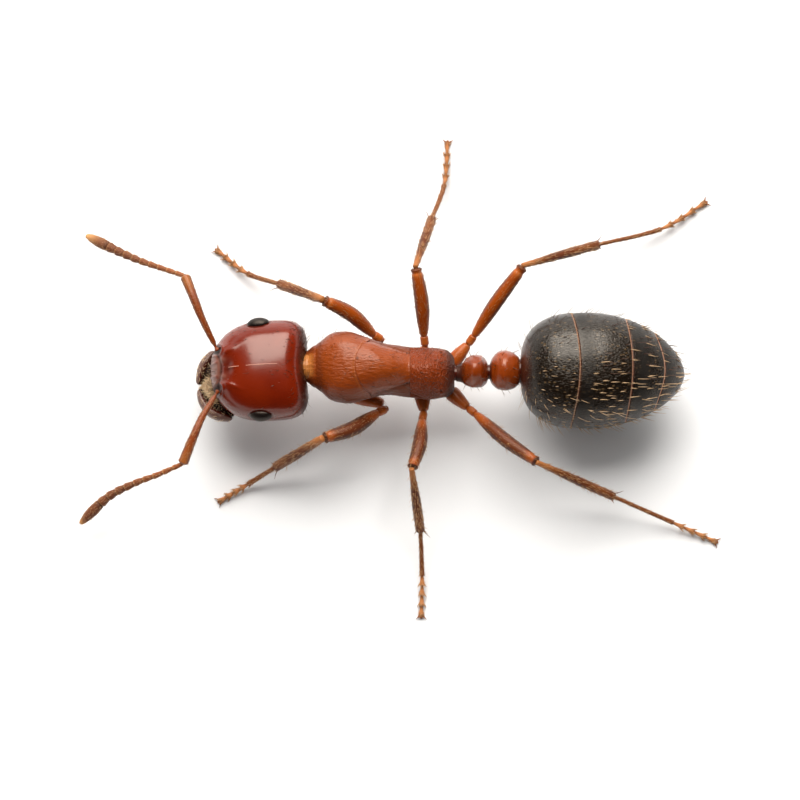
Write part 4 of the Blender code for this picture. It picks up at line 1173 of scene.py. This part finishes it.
def step_along(start, end, distance):
    """The point this far from start toward end, or past it."""
    start, end = np.array(start), np.array(end)
    return start + (end - start) * distance / np.linalg.norm(end - start)


def past_joint(before, joint, after, radius):
    """Where the next piece starts past a joint: further off the more sharply the limb bends."""
    before, joint, after = np.array((before, joint, after))
    arriving, leaving = unit(joint - before), unit(after - joint)
    return joint + unit(arriving + leaving) * (GAP + radius * np.linalg.norm(leaving - arriving) / 2.0)


def sideways(forward):
    """The level direction to the right of an arrow."""
    return unit(np.cross(forward, (0.0, 0.0, 1.0)))


def spike(points, radius, rows=14, columns=8):
    """A thin cone along a curve, as for a claw or a spur."""
    return limb_skin(Path(*points), lambda s: radius * (1.0 - 0.86 * s), caps=(0.3, 0.6)), rows, columns


def make_feeler(side, coat, band):
    """The scape on the ball in its socket, then the lash of beads that overlap a little."""
    sign = 1.0 if side == "R" else -1.0
    scape, lash = SCAPE_ROUTES[side], LASH_ROUTES[side]
    ball = from_head(np.array((SOCKET_PLACE[0], sign * SOCKET_PLACE[1], BALL_Z)))

    def stem_radius(s):
        neck = 0.014 * hump(s - 0.010, 0.024) - 0.014 * hump(s - 0.060, 0.040)
        return between(SCAPE_RADII, s) + neck - INSET

    route = Path(ball, step_along(ball, scape[1], 0.10), *scape[1:])
    stem = limb_skin(route, stem_radius, caps=(1.0, 0.55), marks=scape_tones)
    Work((stem, 90, 26)).finish(f"shell_scape_{side}", "scape", "feeler_red", [f"scape_{side}"])
    coat.grow(stem, band, 300, 0.048, 0.0036, 14.0, 300 + band, spread=0.18, u_span=(0.16, 0.97))

    elbow = past_joint(scape[-2], scape[-1], lash[0], SCAPE_RADII[1])
    route = Path(step_along(elbow, scape[-1], LASH_BACK), *lash)
    starts = (np.arange(LASH_BEADS) / (LASH_BEADS + 1.9)) ** 0.96
    work = Work()
    for number, (start, end) in enumerate(zip(starts, np.append(starts[1:], 1.0))):
        last = number == LASH_BEADS - 1
        full = between(LASH_RADII, (number / (LASH_BEADS - 1)) ** 1.3) - INSET
        rows, cap = (CLUB_ROWS, 1.0) if last else (BEAD_ROWS, 0.5)
        pale = (0.95, 1.0, GOLDEN_TIPS[side]) if last else (0.60, 0.93, 0.08)
        browner = 0.25 + 0.50 * min(max((number - 0.5) / 5.0, 0.0), 1.0)
        tones = ring_tones(0.40, middle=browner, reach=0.20, pale=pale)
        span = (max(start - BEAD_OVERLAP, 0.0), end)
        bead = limb_skin(route, profile(rows, full), span, (0.5, cap), tones)
        work.add_skin(bead, 26, 26)
        share = (band + 1 + number / LASH_BEADS, 1.0 / LASH_BEADS)
        coat.grow(bead, share, 260 if last else 90, 0.030, 0.0034, 24.0, 400 + 20 * band + number)
    work.finish(f"shell_funiculus_{side}", "lash", "feeler_red", [f"funiculus_{side}"])


def thigh_skin(start, knee, bow, stout, painted_shade):
    """A thigh that arches up and bows aside; its radius is a belly with a waist and a cuff behind it."""
    run = np.array(knee) - start
    left = np.array((-run[1], run[0], 0.0)) / np.hypot(run[0], run[1])
    middle = (start + knee) / 2.0 + bow * left + (0.0, 0.0, FEMUR_ARCH)
    thick = swelling(FEMUR_RADII, FEMUR_BELLY, stout)

    def radius(s):
        cuff = 0.008 * (hump(s - 0.985, 0.02) - 1.0 + ease(s, 0.0, 0.06))
        return thick(s) - 0.006 * hump(s - 0.935, 0.018) + cuff

    path = Path(step_along(start, middle, -FEMUR_BACK), middle, knee)
    return limb_skin(path, radius, caps=(0.8, 0.38), marks=thigh_tones(painted_shade)), middle


def shin_skin(start, ankle, stout, extra):
    """A shin that follows its profile, reaches back into the knee and is thicker there by extra."""
    back = TIBIA_BACK / math.dist(start, ankle)

    def radius(s):
        rows = smooth_rows(TIBIA_PROFILE, np.clip(s * (1.0 + back) - back, 0.0, 1.0))[0]
        return stout * rows - INSET * ease(s, 0.05, 0.35) + extra * (1.0 - ease(s, 0.12, 0.50))

    path = Path(step_along(start, ankle, -TIBIA_BACK), ankle)
    return limb_skin(path, radius, caps=(0.6, 0.40), marks=shin_tones)


def make_leg(name, root, hip, knee, ankle, joint, tip, bow, stout):
    """Coxa, trochanter, femur, tibia and foot; each joint sits a little way inside the one before."""
    coat = Coat(5)
    seed = sum(map(ord, name))

    def segment(title, look, *skins):
        Work(*skins).finish(f"shell_{title}_{name}", look, "leg_amber", [f"{title}_{name}"])

    low, high = np.array(root) - (0.0, 0.0, 0.02), np.array(root) * (0.85, 0.75, 1.0) + (0.0, 0.0, 0.22)
    neck = limb_skin(Path(low, high), lambda s: stout * (0.084 + 0.020 * s), caps=(0.5, 0.5),
                     marks=lambda points, u, v: (0.75 + 0.0 * u,))
    coxa = limb_skin(Path(root, hip), swelling(COXA_RADII, COXA_BELLY / stout, stout), caps=(0.6, 0.45),
                     marks=ring_tones(0.35, middle=0.05, reach=0.15, pale=(0.18, 0.9, 0.3)))
    segment("coxa", "femur", (coxa, 50, 34), (neck, 20, 28))

    start = past_joint(root, hip, knee, stout * COXA_RADII[1] * 1.35)
    ends = (-TROCHANTER_BACK, TROCHANTER_LENGTH + TROCHANTER_FORE)
    link = limb_skin(Path(*(step_along(start, knee, end) for end in ends)),
                     lambda s: stout * (TROCHANTER_RADIUS - 0.012 * hump(s - 0.18, 0.10)) - INSET,
                     caps=(0.8, 0.6), marks=ring_tones(0.20, 0.10, reach=0.2, pale=(0.30, 0.6, 0.3)))
    segment("trochanter", "femur", (link, 34, 30))

    start = step_along(start, knee, TROCHANTER_LENGTH + GAP)
    # the thighs carry painted shade, most on the left side, away from the window
    thigh, middle = thigh_skin(start, knee, bow, stout, THIGH_PAINTED_SHADES[name[-1]])
    segment("femur", "femur", (thigh, 96, 34))

    start = past_joint(middle, knee, ankle, stout * FEMUR_RADII[1] * 0.85)
    shin = shin_skin(start, ankle, stout, FRONT_SHIN_EXTRA if name.startswith("front") else 0.0)
    segment("tibia", "tibia", (shin, 96, 32), *spurs(np.array(ankle), unit(np.array(joint) - ankle), stout))

    skins = (coxa, link, thigh, shin)
    for band, count, length, width, lift, step, spread, span in LEG_HAIRS:
        coat.grow(skins[band], band, count, length, width, lift, seed + step, spread=spread, u_span=span)
    segment("tarsus", "tarsus", *foot_joints(ankle, joint, tip, stout, coat, seed))
    level = (np.array(tip) - joint) * (1.0, 1.0, 0.0)
    Work(*claws(np.array(tip), unit(level))).finish(f"claws_{name}", "tarsus", "leg_amber")
    coat.finish(f"down_{name}", "down")


def spurs(ankle, forward, stout):
    """The comb-like spurs at the end of the shin, which stand off to both sides."""
    side = sideways(forward)
    for turn, long in SPURS:
        start = ankle - forward * 0.045 + side * turn * 0.030 * stout
        middle = start + forward * 0.5 * long + side * turn * 0.26 * long
        end = start + forward * 0.92 * long + side * turn * 0.62 * long
        yield spike((start, middle, end), SPUR_RADIUS)


def foot_joints(ankle, joint, tip, stout, coat, seed):
    """The long first foot joint and four arrow-headed ones, with their hairs."""
    path = Path(step_along(ankle, joint, -TARSUS_BACK), joint, tip)
    share = (math.dist(ankle, joint) + TARSUS_BACK) / path.length
    thick, thin = (stout * radius - INSET for radius in TARSUS_RADII)
    tones = ring_tones(0.1, 0.30, middle=0.45, reach=0.06)
    first = limb_skin(path, profile(TARSUS_PROFILE, thick), (0.0, share), (1.0, 0.6), tones)
    yield first, 70, 22
    part = 1.0 / (TARSUS_JOINTS + 1)
    coat.grow(first, (4.0, part), 260, 0.046, 0.0038, 20.0, seed + 5, u_span=(0.05, 0.98), spread=0.2)
    short = (1.0 - share) / TARSUS_JOINTS
    for number in range(TARSUS_JOINTS):
        start = share + number * short
        last = number == TARSUS_JOINTS - 1
        radius = profile(LAST_JOINT_ROWS if last else FOOT_JOINT_ROWS, thin)
        tones = ring_tones(0.15, 0.0 if last else 0.25, reach=0.2, pale=(0.55, 0.5, 0.3))
        bead = limb_skin(path, radius, (start - BEAD_OVERLAP, start + short * 0.97), (0.8, 0.5), tones)
        yield bead, 24, 18
        band = (4.0 + (number + 1) * part, part)
        coat.grow(bead, band, 50, 0.048, 0.0042, 26.0, seed + 10 + number, lambda p, u, v, n: 0.3 + (u > 0.5))
        coat.comb(bead, band, 14, 0.66, 0.066, 0.0085, 17.0, seed + 20 + number)


def claws(tip, forward):
    """Two curved claws, and the pad between them."""
    side = sideways(forward)
    for sign in (1.0, -1.0):
        start = tip + side * sign * 0.006 - forward * 0.010 + (0.0, 0.0, 0.002)
        bend = start + forward * 0.55 * CLAW_LENGTH + side * sign * 0.60 * CLAW_SPREAD + (0.0, 0.0, 0.006)
        end = start + forward * CLAW_LENGTH + side * sign * CLAW_SPREAD - (0.0, 0.0, 0.012)
        yield spike((start, bend, end), CLAW_RADIUS)
    pad = Path(tip - forward * 0.012, tip + forward * 0.030)
    yield limb_skin(pad, lambda s: 0.010 + 0.006 * s, caps=(0.5, 0.9)), 14, 12


# ---------------------------------------------------------------- the whole ant


def make_head():
    """The head, its eyes and jaws, the floor of the mouth and the parting on the brow."""
    Work((HEAD, 260, 240)).finish("shell_head", "head", "head_red", ["head"])
    for side, sign in (("L", -1.0), ("R", 1.0)):
        Work((eye_skin(sign), 64, 96)).finish(f"shell_eye_{side}", "eye", "eye_black", [f"eye_{side}"])
        Work((JAWS[side], 150, 48)).finish(f"shell_mandible_{side}", "jaw", "jaw_dark", [f"mandible_{side}"])
    Work((MOUTH, 40, 40)).finish("mouth_floor", "jaw", "jaw_dark")
    work = Work()
    for span in PARTING_SPANS:  # a fine raised line, sunk half into the crown
        line = Path(*from_head(head_surface(np.linspace(*span, 7), math.pi / 2.0)))
        work.add_skin(limb_skin(line, lambda s: 0.0042 - 0.0018 * abs(2.0 * s - 1.0)), 40, 10)
    # the parting's pale pink finish is a painted glint along the ridge
    work.finish("parting", "parting", "head_red")


def make_necks():
    """The dark joints inside the body, and the amber collar between head and thorax, streaked with painted
    highlights.
    """
    work = Work()
    for start, end, radius in NECKS:
        work.add_skin(limb_skin(Path(start, end), lambda s, r=radius: r + 0.0 * s, caps=(0.4, 0.4)), 24, 32)
    work.finish("necks", "jaw", "thorax_brown")
    # pale streaks over the collar's amber: painted highlights
    glint_streaks = lambda points, u, v: (0.0, 0.65 + 0.35 * np.cos(points[..., 0] * TAU / COLLAR_GLINT_SPACING))
    radius = lambda s: between(COLLAR_RADII, s)
    collar = limb_skin(Path(*COLLAR_ROUTE), radius, caps=(0.4, 0.4), marks=glint_streaks)
    Work((collar, 40, 40)).finish("neck", "thorax", "thorax_brown")


def make_body():
    """The thorax's three plates, the waist's two knots and the gaster's four plates."""
    shoulder, waist, sweep, still = SHOULDER_SEAM_X, WAIST_SEAM_X, SHOULDER_SEAM_SWEEP, (0.0, 0.0)
    ends = {rows: (rows[0][0], rows[-1][0]) for rows in (PETIOLE_STATIONS, POSTPETIOLE_STATIONS)}
    plates = (  # name, look, stations, start, stop, sweeps, squareness, lips, relief and marks
        ("pronotum", "thorax", THORAX_STATIONS, COLLAR_X - 0.020, shoulder + LAP, (0.0, sweep),
         THORAX_SQUARENESS, (0.02, LIP), pronotum_relief, pronotum_marks),
        ("mesothorax", "thorax", THORAX_STATIONS, shoulder - LAP, waist + LAP, (sweep, 0.0),
         THORAX_SQUARENESS, (LIP, LIP), mesothorax_relief, mesothorax_marks),
        ("propodeum", "propodeum", THORAX_STATIONS, waist - LAP, THORAX_END_X, still,
         THORAX_SQUARENESS, (LIP, 0.05), propodeum_relief, propodeum_marks),
        ("petiole", "waist", PETIOLE_STATIONS, *ends[PETIOLE_STATIONS], still,
         WAIST_SQUARENESS, (0.03, 0.03), None, knot_marks(0.32)),
        ("postpetiole", "waist", POSTPETIOLE_STATIONS, *ends[POSTPETIOLE_STATIONS], still,
         WAIST_SQUARENESS, (0.03, 0.03), None, knot_marks(0.12)),
    )
    plate_skins = []
    for name, look, *shape in plates:
        plate_skins.append(plate_skin(*shape))
        Work((plate_skins[-1], 150, 160)).finish(f"shell_{name}", look, "thorax_brown", [name])
    gaster_skins = [gaster_skin(plate) for plate in range(len(GASTER_SEAMS) + 1)]
    for number, skin in enumerate(gaster_skins, 1):
        name = f"gaster_{number}"
        Work((skin, 130, 170)).finish("shell_" + name, "gaster", "gaster_black", [name])
    return plate_skins, gaster_skins


def facing(axis, start, stop):
    """A share of bristles, from none to all, as the skin turns to face along an axis."""
    return lambda p, u, v, n: ease(n[:, axis], start, stop)


def dress(plate_skins, gaster_skins):
    """Bristles of the head, mouth, thorax, waist and gaster."""
    upper, far = facing(2, -0.1, 0.3), facing(1, -0.3, 0.2)
    coat = Coat(1)
    for count, length, width, lift, seed, keep in (
        (240, 0.052, 0.0046, 16.0, 11, lambda p, u, v, n: ease(u, 0.55, 0.75) * (0.15 + upper(p, u, v, n))),
        (60, 0.100, 0.0050, 50.0, 12, lambda p, u, v, n: ease(u, 0.40, 0.85)),
        (70, 0.100, 0.0048, 40.0, 13, lambda p, u, v, n: 1.0 - ease(u, 0.12, 0.30)),
        (46, 0.048, 0.0068, 22.0, 17,
         lambda p, u, v, n: hump(np.hypot(*(to_head(p)[:, :2] - (0.22, 0.30)).T), 0.13) * (n[:, 2] > 0.2)),
    ):
        coat.grow(HEAD, 0, count, length, width, lift, seed, keep, lean=-1.0)
    coat.finish("bristles_head", "fine")

    coat = Coat(3)
    middle = lambda p, u, v, n: upper(p, u, v, n) * hump(to_head(p)[:, 1] + 0.155, 0.095)
    sides = lambda p, u, v, n: upper(p, u, v, n) * (1.0 - hump(to_head(p)[:, 1] + 0.155, 0.14))
    coat.grow(MOUTH, 0, 700, 0.120, 0.0080, 22.0, 14, middle, lean=-1.0, spread=0.16, u_span=(0.04, 0.42))
    coat.grow(MOUTH, 0, 120, 0.090, 0.0070, 30.0, 15, sides, lean=-1.0, spread=0.5, u_span=(0.04, 0.60))
    for number, jaw in enumerate(JAWS.values()):
        coat.grow(jaw, number + 1, 70, 0.055, 0.0046, 30.0, 16 + number, upper, spread=0.5)
    coat.finish("brush_mouth", "brush")

    coat = Coat(5)
    for band, skin in enumerate(plate_skins):
        count, width, keep, short = (26, 0.0090, None, 60) if band > 2 else (22, 0.0066, upper, 180)
        coat.grow(skin, band, count, 0.125, width, 55.0, 30 + band, keep, 0.6, 0.5, (0.20, 0.80))
        coat.grow(skin, band, short, 0.040, 0.0028, 16.0, 40 + band, u_span=(0.15, 0.85))
    coat.finish("bristles_thorax", "fine")

    coat, mist = Coat(4), Coat(4)
    near = lambda p, u, v, n: 1.0 - far(p, u, v, n)
    for band, (short, erect) in enumerate(GASTER_HAIRS):
        skin = gaster_skins[band]
        mist.grow(skin, band, short, 0.024, 0.0036, 12.0, 50 + band, spread=0.10, u_span=(0.08, 0.93))
        # one kind of erect hair with painted light and shade: dark brown on the right, where it shows against
        # the lit floor, and pale straw on the left, where it shows against the shadow
        mist.grow(skin, band, erect, 0.175, 0.0095, 48.0, 60 + band, far, spread=0.06, u_span=(0.10, 0.92))
        coat.grow(skin, band, erect, 0.175, 0.0095, 42.0, 70 + band, near, spread=0.06, u_span=(0.10, 0.92))
    for number, (band, count, row, length, turns) in enumerate(GASTER_ROWS):
        coat.comb(gaster_skins[band], band, count, row, length, 0.0150, 11.0, 90 + number, turns=turns)
    coat.comb(gaster_skins[0], 0, 110, 0.930, 0.030, 0.0070, 6.0, 80, wander=0.003)
    coat.finish("bristles_gaster", "seta")
    mist.finish("mist_gaster", "fine")


def light_scene():
    """One wide soft window from the ant's right, low white panels all round it, and a dark room."""
    scene = bpy.context.scene
    lamps = [("window", *WINDOW)]
    for number in range(PANELS):
        turn = TAU * number / PANELS
        place = (PANEL_DISTANCE * math.cos(turn), PANEL_DISTANCE * math.sin(turn), PANEL_HEIGHT)
        lamps.append((f"panel_{number + 1}", place, PANEL_SIZE, PANEL_POWER, PANEL_COLOUR))
    lamps.append(("fill", *FILL))
    for name, place, size, power, colour in lamps:
        lamp = bpy.data.lights.new(name, "AREA")
        lamp.shape = "RECTANGLE"
        lamp.size, lamp.size_y = (MM * side for side in size)
        lamp.energy, lamp.color = power, colour
        holder = bpy.data.objects.new(name, lamp)
        holder.location = Vector(place) * MM
        holder.rotation_euler = Vector(place).to_track_quat("Z", "Y").to_euler()
        holder.visible_camera = False
        holder.visible_glossy = name != "fill"  # the fill light only lifts the shadows
        scene.collection.objects.link(holder)
    scene.world = bpy.data.worlds.new("room")
    scene.world.use_nodes = True
    inputs = scene.world.node_tree.nodes["Background"].inputs
    inputs["Color"].default_value, inputs["Strength"].default_value = ROOM_COLOUR, ROOM_LIGHT
    scene.view_settings.view_transform = "Standard"


def lay_floor():
    """A plain white floor, far wider than the ant."""
    reach = FLOOR_REACH * MM
    mesh = bpy.data.meshes.new("floor")
    corners = [(x * reach, y * reach, 0.0) for x, y in ((-1, -1), (1, -1), (1, 1), (-1, 1))]
    mesh.from_pydata(corners, [], [(0, 1, 2, 3)])
    finish = Finish("floor_white", Roughness=0.9)
    finish.set("Base Color", FLOOR_WHITE)
    mesh.materials.append(finish.material)
    floor = bpy.data.objects.new("floor", mesh)
    bpy.context.scene.collection.objects.link(floor)
    floor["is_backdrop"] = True


def set_camera():
    """A long lens almost straight above, leaning a little toward the ant's left side."""
    data = bpy.data.cameras.new("camera")
    data.lens, data.sensor_width = LENS, SENSOR
    data.clip_start, data.clip_end = MM, 2.0
    camera = bpy.data.objects.new("camera", data)
    back = Vector((0.0, -math.sin(VIEW_TILT), math.cos(VIEW_TILT)))
    camera.location = (Vector(VIEW_AIM) + back * (VIEW_WIDTH * LENS / SENSOR)) * MM
    camera.rotation_euler = (VIEW_TILT, 0.0, 0.0)
    bpy.context.scene.collection.objects.link(camera)
    bpy.context.scene.camera = camera


def make_ant():
    """Every piece of the ant, from the head to the feet."""
    make_head()
    make_necks()
    dress(*make_body())
    coat = Coat(4)
    for number, side in enumerate("LR"):
        make_feeler(side, coat, 2 * number)
    coat.finish("down_feelers", "down")
    for name, leg in LEGS.items():
        make_leg(name, *leg)


def note_sizes():
    """Both boxes, the solids' and the dressed ant's, made into plain numbers that are then dropped."""
    boxes = {"cad": cad_box, "visual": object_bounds()}
    {name: [list(corner) for corner in box] for name, box in boxes.items()}


make_ant()
lay_floor()
light_scene()
set_camera()
note_sizes()
